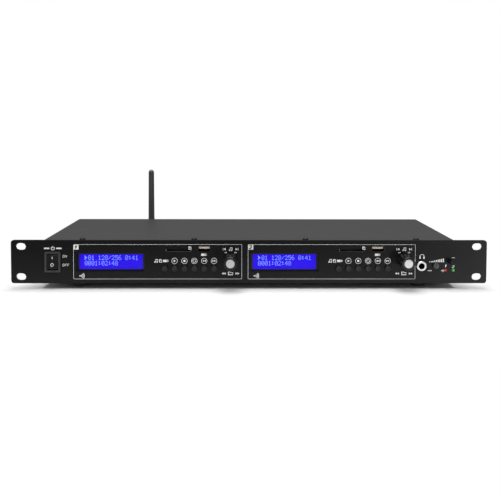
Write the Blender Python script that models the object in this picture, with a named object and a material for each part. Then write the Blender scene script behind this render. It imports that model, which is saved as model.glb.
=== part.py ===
"""A rack media player, one unit high, with two decks: each deck has a display, a card slot, a USB
socket, six buttons and a push knob. Metres, +Z up, the front panel faces -Y, and the origin lies
on the floor under the middle of the object's box."""

from math import atan2, cos, hypot, pi, radians, sin

import bmesh
import bpy
from mathutils import Vector

# Gaps between pieces
GAP = 0.0003
OVERRUN = 0.002
SINK = 0.0004
ROUND = 16
SMALL_ROUND = 10
BUTTON_ROUND = 14
KNOB_ROUND = 24
CORNER_STEPS = 2

# Front panel and case
EAR_WIDTH = 0.03005
PANEL_HEIGHT = 0.0440
PANEL_THICKNESS = 0.0025
PANEL_CORNER = 0.0025
SLOT_LENGTH = 0.0103
SLOT_WIDTH = 0.0071
SLOT_TO_EDGE = 0.0100
SLOT_SPACING = 0.0308
STUD_RADIUS = 0.0015
SHEET = 0.0010
PANEL_BELOW_CASE = 0.0008
LID_BELOW_PANEL = 0.0008
FLANGE = 0.0140
SIDE_FLANGE = 0.0060
BEND_RADIUS = 0.0016

# Feet and screws
FOOT_HEIGHT = 0.0065
FOOT_RADIUS = 0.0070
FOOT_INSET = 0.0360
FOOT_TO_FRONT = 0.0170
FOOT_TO_REAR = 0.0200
FOOT_STUB_RADIUS = 0.0022
FOOT_RECESS_RADIUS = 0.0032
FOOT_RECESS = 0.0022
SCREW_HEAD_RADIUS = 0.0030
SCREW_HEAD = 0.0018
SCREW_SHANK_RADIUS = 0.0013
SCREW_LENGTH = 0.0060
SCREW_RECESS = 0.0010
SCREW_SLOT = 0.0007
SCREW_TO_FRONT = 0.0090
SCREW_TO_SIDE = 0.04025

# Power switch
SWITCH_TO_SIDE = 0.01215
SWITCH_BEZEL_WIDTH = 0.0160
SWITCH_BEZEL_HEIGHT = 0.0208
SWITCH_BEZEL = 0.0020
SWITCH_BODY_WIDTH = 0.0134
SWITCH_BODY_HEIGHT = 0.0190
SWITCH_BODY_DEPTH = 0.0200
ROCKER_WIDTH = 0.0110
ROCKER_RADIUS = 0.0081
ROCKER_SWING = radians(16)
ROCKER_PIVOT = 0.0010
ROCKER_PROUD = 0.0047
ROCKER_DIP = 0.0009
ROCKER_BACK = 0.0035
ROCKER_PIN_RADIUS = 0.0010
TERMINAL_WIDTH = 0.0048
TERMINAL_THICKNESS = 0.0008
TERMINAL_LENGTH = 0.0080

# Decks
DECK_TO_SWITCH = 0.00865
DECK_GAP = 0.00625
DECK_HEIGHT = 0.0352
BOARD_THICKNESS = 0.0016
BOARD_TO_FRONT = 0.0120
BOARD_EDGE = 0.0012
BOARD_HEIGHT = 0.0344
POST_RADIUS = 0.0025
DISPLAY_HEIGHT_ABOVE_EDGE = 0.0213
DISPLAY_HOLE_WIDTH = 0.0686
DISPLAY_HOLE_HEIGHT = 0.0185
DISPLAY_VIEW_WIDTH = 0.0645
DISPLAY_VIEW_HEIGHT = 0.0154
DISPLAY_RIM = 0.0034
DISPLAY_LIP = 0.0008
DISPLAY_TO_FRONT = 0.0037
DISPLAY_GLASS_OVERLAP = 0.0014
BUTTON_TO_DISPLAY = 0.01935
BUTTON_PITCH = 0.0100
BUTTON_COUNT = 6
BUTTON_HEIGHT_ABOVE_EDGE = 0.0153
BUTTON_RADIUS = 0.0029
BUTTON_PROUD = 0.0025
BUTTON_FLANGE = 0.0010
BUTTON_FLANGE_RADIUS = 0.0038
BUTTON_TRAVEL = 0.0005
BUTTON_EDGE = 0.0004
STEM_RADIUS = 0.0016
STEM_IN_SWITCH = 0.0014
TACT_SIZE = 0.0060
TACT_HEIGHT = 0.0036
CARD_TO_BUTTON = 0.0137
CARD_HEIGHT_ABOVE_EDGE = 0.0333
CARD_SLOT_WIDTH = 0.0260
CARD_SLOT_HEIGHT = 0.0030
CARD_WIDTH = 0.0246
CARD_THICKNESS = 0.0024
CARD_WALL = 0.0008
CARD_DEPTH = 0.0260
USB_TO_CARD = 0.0261
USB_HEIGHT_ABOVE_EDGE = 0.0348
USB_WIDTH = 0.0130
USB_HEIGHT = 0.0058
USB_WALL = 0.0004
USB_DEPTH = 0.0150
USB_TONGUE_WIDTH = 0.0108
USB_TONGUE = 0.0018
USB_TONGUE_RECESS = 0.0020
KNOB_TO_BUTTON = 0.0166
KNOB_HEIGHT_ABOVE_EDGE = 0.0238
KNOB_PROUD = 0.0210
KNOB_RADIUS = 0.0072
KNOB_FACE_RADIUS = 0.0046
KNOB_TAPER = 0.0006
KNOB_EDGE = 0.0010
KNOB_FACE_STEP = 0.0003
KNOB_CLEAR = 0.0012
KNOB_TRAVEL = 0.0005
SHAFT_RADIUS = 0.0030
SHAFT_FLAT = 0.0022
BUSHING_RADIUS = 0.0045
ENCODER_SIZE = 0.0124
ENCODER_HEIGHT = 0.0066
ROTOR_RADIUS = 0.0047
ROTOR_THICKNESS = 0.0016
ROTOR_CHAMBER = 0.0036
ROTOR_FLOOR = 0.0008

# Headphone section
JACK_TO_DECK = 0.0104
JACK_HEIGHT_ABOVE_EDGE = 0.0177
JACK_RING_RADIUS = 0.0051
JACK_RING_PROUD = 0.0012
JACK_NOSE_RADIUS = 0.0045
JACK_HOLE_RADIUS = 0.0032
JACK_BODY_WIDTH = 0.0120
JACK_BODY_DEPTH = 0.0240
VOLUME_TO_JACK = 0.0146
VOLUME_HEIGHT_ABOVE_EDGE = 0.0183
VOLUME_RADIUS = 0.0028
VOLUME_PROUD = 0.0032
VOLUME_SLOT = 0.0007
POT_SIZE = 0.0096
POT_DEPTH = 0.0080
POT_TO_FRONT = 0.0070
POT_WALL = 0.0010
POT_SHAFT_RADIUS = 0.0020
SOURCE_TO_VOLUME = 0.0154
SOURCE_TO_SIDE = 0.00655
SOURCE_HEIGHT_ABOVE_EDGE = 0.0224
SOURCE_RADIUS = 0.0025
SOURCE_PROUD = 0.0085
SOURCE_TRAVEL = 0.0015
SOURCE_SWITCH_SIZE = 0.0078
SOURCE_SWITCH_DEPTH = 0.0100
SOURCE_SWITCH_TO_FRONT = 0.0110
SOURCE_FLANGE_RADIUS = 0.0033
SOURCE_STEM_RADIUS = 0.0018
SOURCE_STEM = 0.0030
LAMP_LEFT_OF_SOURCE = 0.0052
LAMP_RIGHT_OF_SOURCE = 0.0027
LAMP_HEIGHT_ABOVE_EDGE = 0.0133
LAMP_RADIUS = 0.0015
LAMP_PROUD = 0.0010
LAMP_LENGTH = 0.0045
LAMP_LEAD = 0.0005
LAMP_LEAD_SPREAD = 0.0013
LAMP_BEND_DEPTH = 0.0080
PHONES_BOARD_HEIGHT = 0.0086
PHONES_BOARD_DEPTH = 0.0300
PHONES_BOARD_TO_FRONT = 0.0048

# Rear wall
INLET_TO_SIDE = 0.03125
INLET_FLANGE_WIDTH = 0.0310
INLET_FLANGE_HEIGHT = 0.0330
INLET_FLANGE = 0.0024
INLET_BODY_WIDTH = 0.0276
INLET_BODY_HEIGHT = 0.0300
INLET_BODY_DEPTH = 0.0260
INLET_MOUTH_WIDTH = 0.0240
INLET_MOUTH_HEIGHT = 0.0164
INLET_MOUTH_CUT = 0.0040
INLET_MOUTH_DEPTH = 0.0180
INLET_MOUTH_RISE = 0.0050
INLET_PIN_WIDTH = 0.0020
INLET_PIN_HEIGHT = 0.0040
INLET_PIN_LENGTH = 0.0150
INLET_PIN_SPREAD = 0.0070
INLET_EARTH_RISE = 0.0040
FUSE_WIDTH = 0.0220
FUSE_HEIGHT = 0.0072
FUSE_DEPTH = 0.0210
FUSE_DROP = 0.0095
FUSE_GRIP = 0.0012
FUSE_BAY = 0.0060
RCA_TO_BOARD = 0.0360
RCA_COLUMNS = 3
RCA_PITCH = 0.0140
RCA_RISE = 0.0140
RCA_MIDDLE_ABOVE_EDGE = 0.0236
RCA_RADIUS = 0.0042
RCA_HOLE_RADIUS = 0.0017
RCA_HOLE_DEPTH = 0.0070
RCA_LENGTH = 0.0085
RCA_BODY_DEPTH = 0.0110
RCA_BODY_MARGIN = 0.0020
ANTENNA_TO_INLET = 0.0580
ANTENNA_HEIGHT_ABOVE_EDGE = 0.0220
ANTENNA_HINGE_TO_WALL = 0.0160
SOCKET_RADIUS = 0.0031
SOCKET_NUT_RADIUS = 0.0052
SOCKET_NUT = 0.0020
SOCKET_LENGTH = 0.0080
SOCKET_TAIL = 0.0060
SOCKET_TAIL_RADIUS = 0.0022
SLEEVE_END = 0.0012
SLEEVE_RADIUS = 0.0048
EAR_THICKNESS = 0.0018
ROD_TONGUE = 0.0042
EAR_RADIUS = 0.0038
ROD_SHOULDER = 0.0050
HINGE_PIN_RADIUS = 0.0012
ROD_BASE_RADIUS = 0.0043
ROD_LID_RADIUS = 0.0038
ROD_TIP_RADIUS = 0.0034
ROD_LENGTH = 0.0818

# Boards and cables inside
POWER_BOARD_TO_ANTENNA = 0.0150
POWER_BOARD_WIDTH = 0.0560
POWER_BOARD_LENGTH = 0.0860
POWER_BOARD_TO_FRONT = 0.0600
POWER_BOARD_TO_REAR = 0.0190
OUTPUT_BOARD_GAP = 0.0170
OUTPUT_BOARD_WIDTH = 0.1000
OUTPUT_BOARD_LENGTH = 0.0560
BOARD_LIFT = 0.0050
CORE_WIDTH = 0.0220
CORE_LENGTH = 0.0260
CORE_HEIGHT = 0.0180
CORE_WINDING = 0.0030
CAPACITOR_RADIUS = 0.0080
CAPACITOR_HEIGHT = 0.0210
SINK_WIDTH = 0.0030
SINK_LENGTH = 0.0400
SINK_HEIGHT = 0.0200
CHIP_SIZE = 0.0120
CHIP_HEIGHT = 0.0016
CHIP_SHARES = (0.12, 0.60)
RIBBON_WIDTH = 0.0160
RIBBON_THICKNESS = 0.0009
PLUG_DEPTH = 0.0060
PLUG_HEIGHT = 0.0050
RIBBON_SHARES = (0.10, 0.90)
POWER_PLUG_WIDTH = 0.0090
POWER_PLUG_LENGTH = 0.0120
POWER_PLUG_HEIGHT = 0.0090
POWER_PLUG_SHARES = (0.16, 0.84)
CORD_RADIUS = 0.0024
CORD_STRAIGHT = 0.0120
COAX_HEIGHT_ABOVE_EDGE = 0.0340
COAX_RADIUS = 0.0011

# Places along a player board, from its display's centre
FRAME_HALF = DISPLAY_VIEW_WIDTH / 2 + DISPLAY_RIM
BUTTON_PLACES = [FRAME_HALF + BUTTON_TO_DISPLAY + i * BUTTON_PITCH for i in range(BUTTON_COUNT)]
CARD_PLACE = BUTTON_PLACES[0] + CARD_TO_BUTTON
USB_PLACE = CARD_PLACE + USB_TO_CARD
KNOB_PLACE = BUTTON_PLACES[-1] + KNOB_TO_BUTTON
BOARD_LEFT = -FRAME_HALF - 2 * POST_RADIUS - 2 * GAP
BOARD_RIGHT = KNOB_PLACE + ENCODER_SIZE / 2 + BOARD_EDGE

# Places across the case: what stands side by side adds up to its width, and with the ears to the
# 482.6 mm of a rack panel
FIRST_DECK = SWITCH_TO_SIDE + SWITCH_BEZEL_WIDTH / 2 + DECK_TO_SWITCH - BOARD_LEFT
DECK_PITCH = BOARD_RIGHT - BOARD_LEFT + DECK_GAP
PHONES_WIDTH = JACK_TO_DECK + VOLUME_TO_JACK + SOURCE_TO_VOLUME + SOURCE_TO_SIDE
BODY_WIDTH = FIRST_DECK + DECK_PITCH + BOARD_RIGHT + PHONES_WIDTH
PANEL_WIDTH = BODY_WIDTH + 2 * EAR_WIDTH
LEFT_SIDE = -BODY_WIDTH / 2
SWITCH_X = LEFT_SIDE + SWITCH_TO_SIDE
DECKS = [LEFT_SIDE + FIRST_DECK + i * DECK_PITCH for i in range(2)]
JACK_X = DECKS[1] + BOARD_RIGHT + JACK_TO_DECK
VOLUME_X = JACK_X + VOLUME_TO_JACK
SOURCE_X = VOLUME_X + SOURCE_TO_VOLUME
LAMP_PLACES = (SOURCE_X - LAMP_LEFT_OF_SOURCE, SOURCE_X + LAMP_RIGHT_OF_SOURCE)
SCREW_SPACING = (BODY_WIDTH - 2 * SCREW_TO_SIDE) / 3
SCREW_PLACES = [LEFT_SIDE + SCREW_TO_SIDE + i * SCREW_SPACING for i in range(4)]
INLET_X = LEFT_SIDE + INLET_TO_SIDE
ANTENNA_X = INLET_X + ANTENNA_TO_INLET
POWER_BOARD_LEFT = ANTENNA_X + POWER_BOARD_TO_ANTENNA
POWER_BOARD_CENTRE = POWER_BOARD_LEFT + POWER_BOARD_WIDTH / 2
OUTPUT_BOARD_LEFT = POWER_BOARD_LEFT + POWER_BOARD_WIDTH + OUTPUT_BOARD_GAP
OUTPUT_BOARD_CENTRE = OUTPUT_BOARD_LEFT + OUTPUT_BOARD_WIDTH / 2
RCA_FIRST = OUTPUT_BOARD_LEFT + RCA_TO_BOARD
RIBBON_PLACES = [OUTPUT_BOARD_LEFT + share * OUTPUT_BOARD_WIDTH for share in RIBBON_SHARES]

# Places worked out from the sizes above
ANTENNA_REACH = ANTENNA_HINGE_TO_WALL + ROD_BASE_RADIUS
BODY_DEPTH = POWER_BOARD_TO_FRONT + POWER_BOARD_LENGTH + POWER_BOARD_TO_REAR
FRONT = (KNOB_PROUD - BODY_DEPTH - ANTENNA_REACH) / 2
REAR = FRONT + BODY_DEPTH
CASE_BOTTOM = FOOT_HEIGHT
PANEL_BOTTOM = CASE_BOTTOM - PANEL_BELOW_CASE
PANEL_TOP = PANEL_BOTTOM + PANEL_HEIGHT
PANEL_MIDDLE = PANEL_BOTTOM + PANEL_HEIGHT / 2
PANEL_BACK = FRONT + PANEL_THICKNESS
LID_TOP = PANEL_TOP - LID_BELOW_PANEL
WALL_FRONT = PANEL_BACK + GAP
WALL_BACK = WALL_FRONT + SHEET
WALL_TOP = LID_TOP - SHEET - GAP
BASE_HALF = BODY_WIDTH / 2 - SHEET - GAP
BOARD_FRONT = FRONT + BOARD_TO_FRONT
BOARD_BACK = BOARD_FRONT + BOARD_THICKNESS
FLOOR_TOP = CASE_BOTTOM + SHEET
LOW_BOARD = FLOOR_TOP + BOARD_LIFT
LOW_BOARD_TOP = LOW_BOARD + BOARD_THICKNESS


def finish(name, colour, roughness, metallic=0.0):
    """A plain surface of one colour."""
    made = bpy.data.materials.new(name)
    made.use_nodes = True
    shader = made.node_tree.nodes["Principled BSDF"]
    shader.inputs["Base Color"].default_value = (*colour, 1.0)
    shader.inputs["Roughness"].default_value = roughness
    shader.inputs["Metallic"].default_value = metallic
    made.diffuse_color = (*colour, 1.0)
    return made


def rectangle(width, height, corner=0.0):
    """Outline of a centred rectangle, with round corners where a radius is given."""
    if corner <= 0:
        return [(sx * width / 2, sz * height / 2) for sx, sz in ((1, -1), (1, 1), (-1, 1), (-1, -1))]
    points = []
    for quarter in range(4):
        turn = quarter * pi / 2
        sx = 1 if quarter in (0, 3) else -1
        sz = 1 if quarter in (0, 1) else -1
        for step in range(CORNER_STEPS + 1):
            angle = turn + step * pi / 2 / CORNER_STEPS
            x = sx * (width / 2 - corner) + corner * cos(angle)
            points.append((x, sz * (height / 2 - corner) + corner * sin(angle)))
    return points


def circle(radius, count=ROUND):
    """Outline of a centred circle."""
    return [(radius * cos(2 * pi * i / count), radius * sin(2 * pi * i / count)) for i in range(count)]


def flatted(radius, flat, count=ROUND):
    """Outline of a shaft's section: a circle whose top is cut flat at the height flat."""
    return [(x, min(z, flat)) for x, z in circle(radius, count)]


def prism(outline, axis, low, high, centre=(0.0, 0.0)):
    """A straight solid: the outline moved to centre, carried along the axis from low to high."""
    order = {"X": (2, 0, 1), "Y": (0, 2, 1), "Z": (0, 1, 2)}[axis]
    points = []
    for level in (low, high):
        for a, b in outline:
            raw = (a + centre[0], b + centre[1], level)
            points.append(tuple(raw[k] for k in order))
    count = len(outline)
    faces = [tuple(range(count)), tuple(range(count, 2 * count))]
    faces += [(i, (i + 1) % count, count + (i + 1) % count, count + i) for i in range(count)]
    return points, faces


def box(low, high):
    """A block between two corners."""
    width, height = high[0] - low[0], high[2] - low[2]
    centre = ((low[0] + high[0]) / 2, (low[2] + high[2]) / 2)
    return prism(rectangle(width, height), "Y", low[1], high[1], centre)


def block(centre, size):
    """A block given by its centre and its three sides."""
    low = [c - s / 2 for c, s in zip(centre, size)]
    return box(low, [c + s / 2 for c, s in zip(centre, size)])


def turned(profile, axis, centre, count=ROUND):
    """A turned solid: the closed profile of (radius, place along the axis) spun about the axis."""
    order = {"Y": (0, 2, 1), "Z": (0, 1, 2)}[axis]
    points, rings = [], []
    for radius, along in profile:
        ring = []
        for i in range(count if radius > 0 else 1):
            angle = 2 * pi * i / count
            raw = (centre[0] + radius * cos(angle), centre[1] + radius * sin(angle), along)
            ring.append(len(points))
            points.append(tuple(raw[k] for k in order))
        rings.append(ring)
    faces = []
    for ring, after in zip(rings, rings[1:] + rings[:1]):
        if len(ring) == 1 and len(after) == 1:
            continue
        for i in range(count):
            j = (i + 1) % count
            corners = [ring[i % len(ring)], ring[j % len(ring)], after[j % len(after)], after[i % len(after)]]
            faces.append(tuple(dict.fromkeys(corners)))
    return points, faces


def mesh_object(name, shapes, origin):
    """An object that holds the shapes, with its faces outwards and its origin where asked."""
    work = bmesh.new()
    for points, faces in shapes:
        made = [work.verts.new(Vector(p) - Vector(origin)) for p in points]
        for face in faces:
            work.faces.new([made[i] for i in face])
    bmesh.ops.recalc_face_normals(work, faces=work.faces)
    mesh = bpy.data.meshes.new(name)
    work.to_mesh(mesh)
    work.free()
    made = bpy.data.objects.new(name, mesh)
    made.location = origin
    bpy.context.scene.collection.objects.link(made)
    return made


def smooth(mesh, angle=radians(35)):
    """Round faces shade smooth and edges stay sharp."""
    mesh.shade_smooth()
    mesh.set_sharp_from_angle(angle=angle)


def piece(name, shapes, material, origin=(0.0, 0.0, 0.0)):
    """One sub-part. The first shape is its body, and the others are joined to it."""
    made = mesh_object(name, shapes[:1], origin)
    made.data.materials.append(material)
    smooth(made.data)
    for number, shape in enumerate(shapes[1:], 1):
        combine(made, "UNION", [shape], f"join{number}")
    return made


def combine(made, operation, shapes, label):
    """Joins the shapes to the object or cuts them from it. They stay apart from one another."""
    helper = mesh_object(f"{made.name}_{label}", shapes, made.location)
    helper.location = (0.0, 0.0, 0.0)
    helper.parent = made
    helper.hide_render = True
    helper.display_type = "WIRE"
    helper.data.materials.append(made.data.materials[0])
    smooth(helper.data)
    modifier = made.modifiers.new(label, "BOOLEAN")
    modifier.operation = operation
    modifier.solver = "EXACT"
    modifier.object = helper


def join(made, shapes, label="join"):
    combine(made, "UNION", shapes, label)


def cut(made, shapes, label="cut"):
    combine(made, "DIFFERENCE", shapes, label)


def smooth_route(marks, step):
    """Points about one step apart on a smooth curve through the marks of a cable's route."""
    marks = [Vector(m) for m in marks]
    ends = [marks[0] * 2 - marks[1], *marks, marks[-1] * 2 - marks[-2]]
    points = []
    for before, start, end, after in zip(ends, ends[1:], ends[2:], ends[3:]):
        count = max(1, round((end - start).length / step))
        for i in range(count):
            t = i / count
            bend = 2 * before - 5 * start + 4 * end - after
            twist = 3 * (start - end) + after - before
            points.append((2 * start + (end - before) * t + bend * t**2 + twist * t**3) / 2)
    return points + [marks[-1]]


def cable(name, marks, radius, material):
    """A round cable along a smooth route, with filled ends."""
    curve = bpy.data.curves.new(name, "CURVE")
    curve.dimensions = "3D"
    curve.bevel_depth = radius
    curve.bevel_resolution = 2
    curve.use_fill_caps = True
    curve.materials.append(material)
    points = smooth_route(marks, radius * 5)
    line = curve.splines.new("POLY")
    line.points.add(len(points) - 1)
    for point, place in zip(line.points, points):
        point.co = (*place, 1.0)
    made = bpy.data.objects.new(name, curve)
    bpy.context.scene.collection.objects.link(made)
    return made


def edge(height):
    """The world height of a place given from the panel's lower edge."""
    return PANEL_BOTTOM + height


def front_panel(material):
    """The face plate with its rack slots and the openings of everything that comes through it."""
    plate = prism(
        rectangle(PANEL_WIDTH, PANEL_HEIGHT, PANEL_CORNER), "Y", FRONT, PANEL_BACK, (0.0, PANEL_MIDDLE)
    )
    made = piece("front_panel", [plate], material)
    low, high = FRONT - OVERRUN, PANEL_BACK + OVERRUN

    def hole(outline, x, z):
        return prism(outline, "Y", low, high, (x, z))

    holes = []
    slot = rectangle(SLOT_LENGTH, SLOT_WIDTH, SLOT_WIDTH / 2 - GAP / 10)
    for side in (-1, 1):
        for row in (-1, 1):
            x = side * (PANEL_WIDTH / 2 - SLOT_TO_EDGE)
            holes.append(hole(slot, x, PANEL_MIDDLE + row * SLOT_SPACING / 2))
    switch = rectangle(SWITCH_BODY_WIDTH + 2 * GAP, SWITCH_BODY_HEIGHT + 2 * GAP)
    holes.append(hole(switch, SWITCH_X, PANEL_MIDDLE))
    for deck in DECKS:
        window = rectangle(DISPLAY_HOLE_WIDTH, DISPLAY_HOLE_HEIGHT, PANEL_CORNER / 3)
        holes.append(hole(window, deck, edge(DISPLAY_HEIGHT_ABOVE_EDGE)))
        card = rectangle(CARD_SLOT_WIDTH, CARD_SLOT_HEIGHT)
        holes.append(hole(card, deck + CARD_PLACE, edge(CARD_HEIGHT_ABOVE_EDGE)))
        usb = rectangle(USB_WIDTH + 2 * GAP, USB_HEIGHT + 2 * GAP)
        holes.append(hole(usb, deck + USB_PLACE, edge(USB_HEIGHT_ABOVE_EDGE)))
        for place in BUTTON_PLACES:
            holes.append(hole(circle(BUTTON_RADIUS + GAP), deck + place, edge(BUTTON_HEIGHT_ABOVE_EDGE)))
        bushing = circle(BUSHING_RADIUS + GAP)
        holes.append(hole(bushing, deck + KNOB_PLACE, edge(KNOB_HEIGHT_ABOVE_EDGE)))
    holes.append(hole(circle(JACK_NOSE_RADIUS + GAP), JACK_X, edge(JACK_HEIGHT_ABOVE_EDGE)))
    holes.append(hole(circle(VOLUME_RADIUS + GAP), VOLUME_X, edge(VOLUME_HEIGHT_ABOVE_EDGE)))
    holes.append(hole(circle(SOURCE_RADIUS + GAP), SOURCE_X, edge(SOURCE_HEIGHT_ABOVE_EDGE)))
    for x in LAMP_PLACES:
        holes.append(hole(circle(LAMP_RADIUS + GAP), x, edge(LAMP_HEIGHT_ABOVE_EDGE)))
    cut(made, holes)
    stud = circle(STUD_RADIUS, SMALL_ROUND)
    studs = [prism(stud, "Y", PANEL_BACK - SINK, WALL_BACK + SHEET, p) for p in stud_places()]
    join(made, studs, "studs")


def stud_places():
    """Where the panel's studs pass through the front wall: left, middle and right, low and high."""
    left, right = BOARD_LEFT, BOARD_RIGHT
    lane = (DECKS[0] + right + DECKS[1] + left) / 2
    side = BASE_HALF - SHEET - 2 * STUD_RADIUS
    rise = DECK_HEIGHT / 2 - STUD_RADIUS
    return [(x, PANEL_MIDDLE + row * rise) for x in (-side, lane, side) for row in (-1, 1)]


def display_frame_size():
    """Outer width and height of a display's frame."""
    return DISPLAY_VIEW_WIDTH + 2 * DISPLAY_RIM, DISPLAY_VIEW_HEIGHT + 2 * DISPLAY_RIM


def deck_window():
    """Left and right of the case's opening behind a deck, from the display to the last button."""
    right = BUTTON_PLACES[-1] + BUTTON_FLANGE_RADIUS + 2 * GAP
    return BOARD_LEFT + 2 * POST_RADIUS, right


def chassis_base(material):
    """The folded base: bottom, front wall, rear wall, their top flanges and the side flanges."""
    inner_front, inner_rear = WALL_BACK, REAR - SHEET
    outline = [
        (WALL_FRONT, CASE_BOTTOM),
        (REAR, CASE_BOTTOM),
        (REAR, WALL_TOP),
        (REAR - FLANGE, WALL_TOP),
        (REAR - FLANGE, WALL_TOP - SHEET),
        (inner_rear, WALL_TOP - SHEET),
        (inner_rear, FLOOR_TOP),
        (inner_front, FLOOR_TOP),
        (inner_front, WALL_TOP - SHEET),
        (WALL_FRONT + FLANGE, WALL_TOP - SHEET),
        (WALL_FRONT + FLANGE, WALL_TOP),
        (WALL_FRONT, WALL_TOP),
    ]
    made = piece("chassis_base", [prism(outline, "X", -BASE_HALF, BASE_HALF)], material)
    joined = []
    for side in (-1, 1):
        outer, inner = side * (BASE_HALF - SINK), side * (BASE_HALF - SINK - SHEET)
        low = (min(outer, inner), inner_front - SINK, FLOOR_TOP - SINK)
        high = (max(outer, inner), inner_rear + SINK, FLOOR_TOP + SIDE_FLANGE)
        joined.append(box(low, high))
    join(made, joined)
    cut(made, base_holes())


def base_holes():
    """Cutters of the base: openings of the front wall, the rear wall, the flanges and the floor."""
    low, high = WALL_FRONT - OVERRUN, WALL_BACK + OVERRUN
    holes = []
    left, right = deck_window()
    for deck in DECKS:
        window = rectangle(right - left, BOARD_HEIGHT)
        holes.append(prism(window, "Y", low, high, (deck + (left + right) / 2, PANEL_MIDDLE)))
        shaft = (deck + KNOB_PLACE, edge(KNOB_HEIGHT_ABOVE_EDGE))
        holes.append(prism(circle(BUSHING_RADIUS + GAP), "Y", low, high, shaft))
    switch = rectangle(SWITCH_BODY_WIDTH + 4 * GAP, SWITCH_BODY_HEIGHT + 4 * GAP)
    holes.append(prism(switch, "Y", low, high, (SWITCH_X, PANEL_MIDDLE)))
    left, right, bottom, top = phones_window()
    window = rectangle(right - left, top - bottom)
    holes.append(prism(window, "Y", low, high, ((left + right) / 2, (bottom + top) / 2)))
    holes += [prism(circle(STUD_RADIUS + GAP, SMALL_ROUND), "Y", low, high, p) for p in stud_places()]
    low, high = REAR - SHEET - OVERRUN, REAR + OVERRUN
    inlet = rectangle(INLET_BODY_WIDTH + 2 * GAP, INLET_BODY_HEIGHT + 2 * GAP)
    holes.append(prism(inlet, "Y", low, high, (INLET_X, PANEL_MIDDLE)))
    holes += [prism(circle(RCA_RADIUS + GAP), "Y", low, high, p) for p in rca_places()]
    antenna = (ANTENNA_X, edge(ANTENNA_HEIGHT_ABOVE_EDGE))
    holes.append(prism(circle(SOCKET_RADIUS + GAP), "Y", low, high, antenna))
    low, high = WALL_TOP - SHEET - OVERRUN, WALL_TOP + OVERRUN
    for place in screw_places():
        holes.append(prism(circle(SCREW_SHANK_RADIUS + GAP, SMALL_ROUND), "Z", low, high, place))
    low, high = CASE_BOTTOM - OVERRUN, FLOOR_TOP + OVERRUN
    for place in foot_places():
        holes.append(prism(circle(FOOT_STUB_RADIUS + GAP, SMALL_ROUND), "Z", low, high, place))
    for side in (-1, 1):
        near, far = sorted((side * (BASE_HALF - BEND_RADIUS), side * (BASE_HALF + OVERRUN)))
        low = (near, WALL_FRONT - OVERRUN, WALL_TOP - BEND_RADIUS)
        holes.append(box(low, (far, REAR + OVERRUN, WALL_TOP + OVERRUN)))
    return holes


def phones_window():
    """Sides of the front wall's opening for the headphone section: left, right, bottom, top."""
    left = JACK_X - JACK_BODY_WIDTH / 2 - 2 * GAP
    right = LAMP_PLACES[1] + LAMP_RADIUS + GAP
    bottom = edge(PHONES_BOARD_HEIGHT) - GAP
    top = edge(SOURCE_HEIGHT_ABOVE_EDGE) + SOURCE_SWITCH_SIZE / 2 + GAP
    return left, right, bottom, top


def screw_places():
    """The four cover screws along the front edge."""
    return [(x, FRONT + SCREW_TO_FRONT) for x in SCREW_PLACES]


def foot_places():
    """The four feet."""
    x = BODY_WIDTH / 2 - FOOT_INSET
    return [(side * x, y) for y in (FRONT + FOOT_TO_FRONT, REAR - FOOT_TO_REAR) for side in (-1, 1)]


def floor_posts(centre, width, span, bottom):
    """Four posts just inside the corners of a flat board, from the floor up to its underside."""
    reach, inset = width / 2 - 2 * POST_RADIUS, 2 * POST_RADIUS
    places = [(centre + side * reach, y) for side in (-1, 1) for y in (span[0] + inset, span[1] - inset)]
    post = circle(POST_RADIUS, SMALL_ROUND)
    return [prism(post, "Z", FLOOR_TOP + GAP, bottom + SINK, place) for place in places]


def wall_posts(deck):
    """Four posts of a player board that stand on the front wall, beside its opening."""
    rise = BOARD_HEIGHT / 2 - 2 * POST_RADIUS
    sides = (BOARD_LEFT + POST_RADIUS - GAP, BOARD_RIGHT - POST_RADIUS)
    places = [(deck + x, PANEL_MIDDLE + row * rise) for x in sides for row in (-1, 1)]
    post = circle(POST_RADIUS, SMALL_ROUND)
    return [prism(post, "Y", WALL_BACK + GAP, BOARD_FRONT + SINK, place) for place in places]


def power_board_span():
    """Front and rear of the power supply board."""
    low = FRONT + POWER_BOARD_TO_FRONT
    return low, low + POWER_BOARD_LENGTH


def output_board_span():
    """Front and rear of the output board, which ends at the rear wall."""
    high = REAR - SHEET - GAP
    return high - OUTPUT_BOARD_LENGTH, high


def phones_board_span():
    """Front and rear of the headphone board."""
    low = FRONT + PHONES_BOARD_TO_FRONT
    return low, low + PHONES_BOARD_DEPTH


def phones_board_sides():
    """Left and right of the headphone board, from beside the jack to beside the last lamp."""
    return JACK_X - JACK_BODY_WIDTH / 2 - LAMP_RADIUS, LAMP_PLACES[1] + LAMP_RADIUS


def top_cover(material):
    """The lid with its two sides, folded from one sheet with round bends."""
    half = BODY_WIDTH / 2

    def bend(radius):
        """The top left and top right arcs of the folded sheet."""
        inset = SHEET + BEND_RADIUS - radius
        points = []
        for side, turn in ((1, 0.0), (-1, pi / 2)):
            for step in range(CORNER_STEPS + 1):
                angle = turn + step * pi / 2 / CORNER_STEPS
                x = side * (half - inset - radius) + radius * cos(angle)
                points.append((x, LID_TOP - inset - radius + radius * sin(angle)))
        return points

    outer = [(half, CASE_BOTTOM), *bend(SHEET + BEND_RADIUS), (-half, CASE_BOTTOM)]
    inner = [(half - SHEET, CASE_BOTTOM), *bend(BEND_RADIUS), (-half + SHEET, CASE_BOTTOM)]
    made = piece("top_cover", [prism(outer + inner[::-1], "Y", WALL_FRONT, REAR)], material)
    low, high = LID_TOP - SHEET - OVERRUN, LID_TOP + OVERRUN
    screw_hole = circle(SCREW_SHANK_RADIUS + GAP, SMALL_ROUND)
    cut(made, [prism(screw_hole, "Z", low, high, p) for p in screw_places()])


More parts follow.
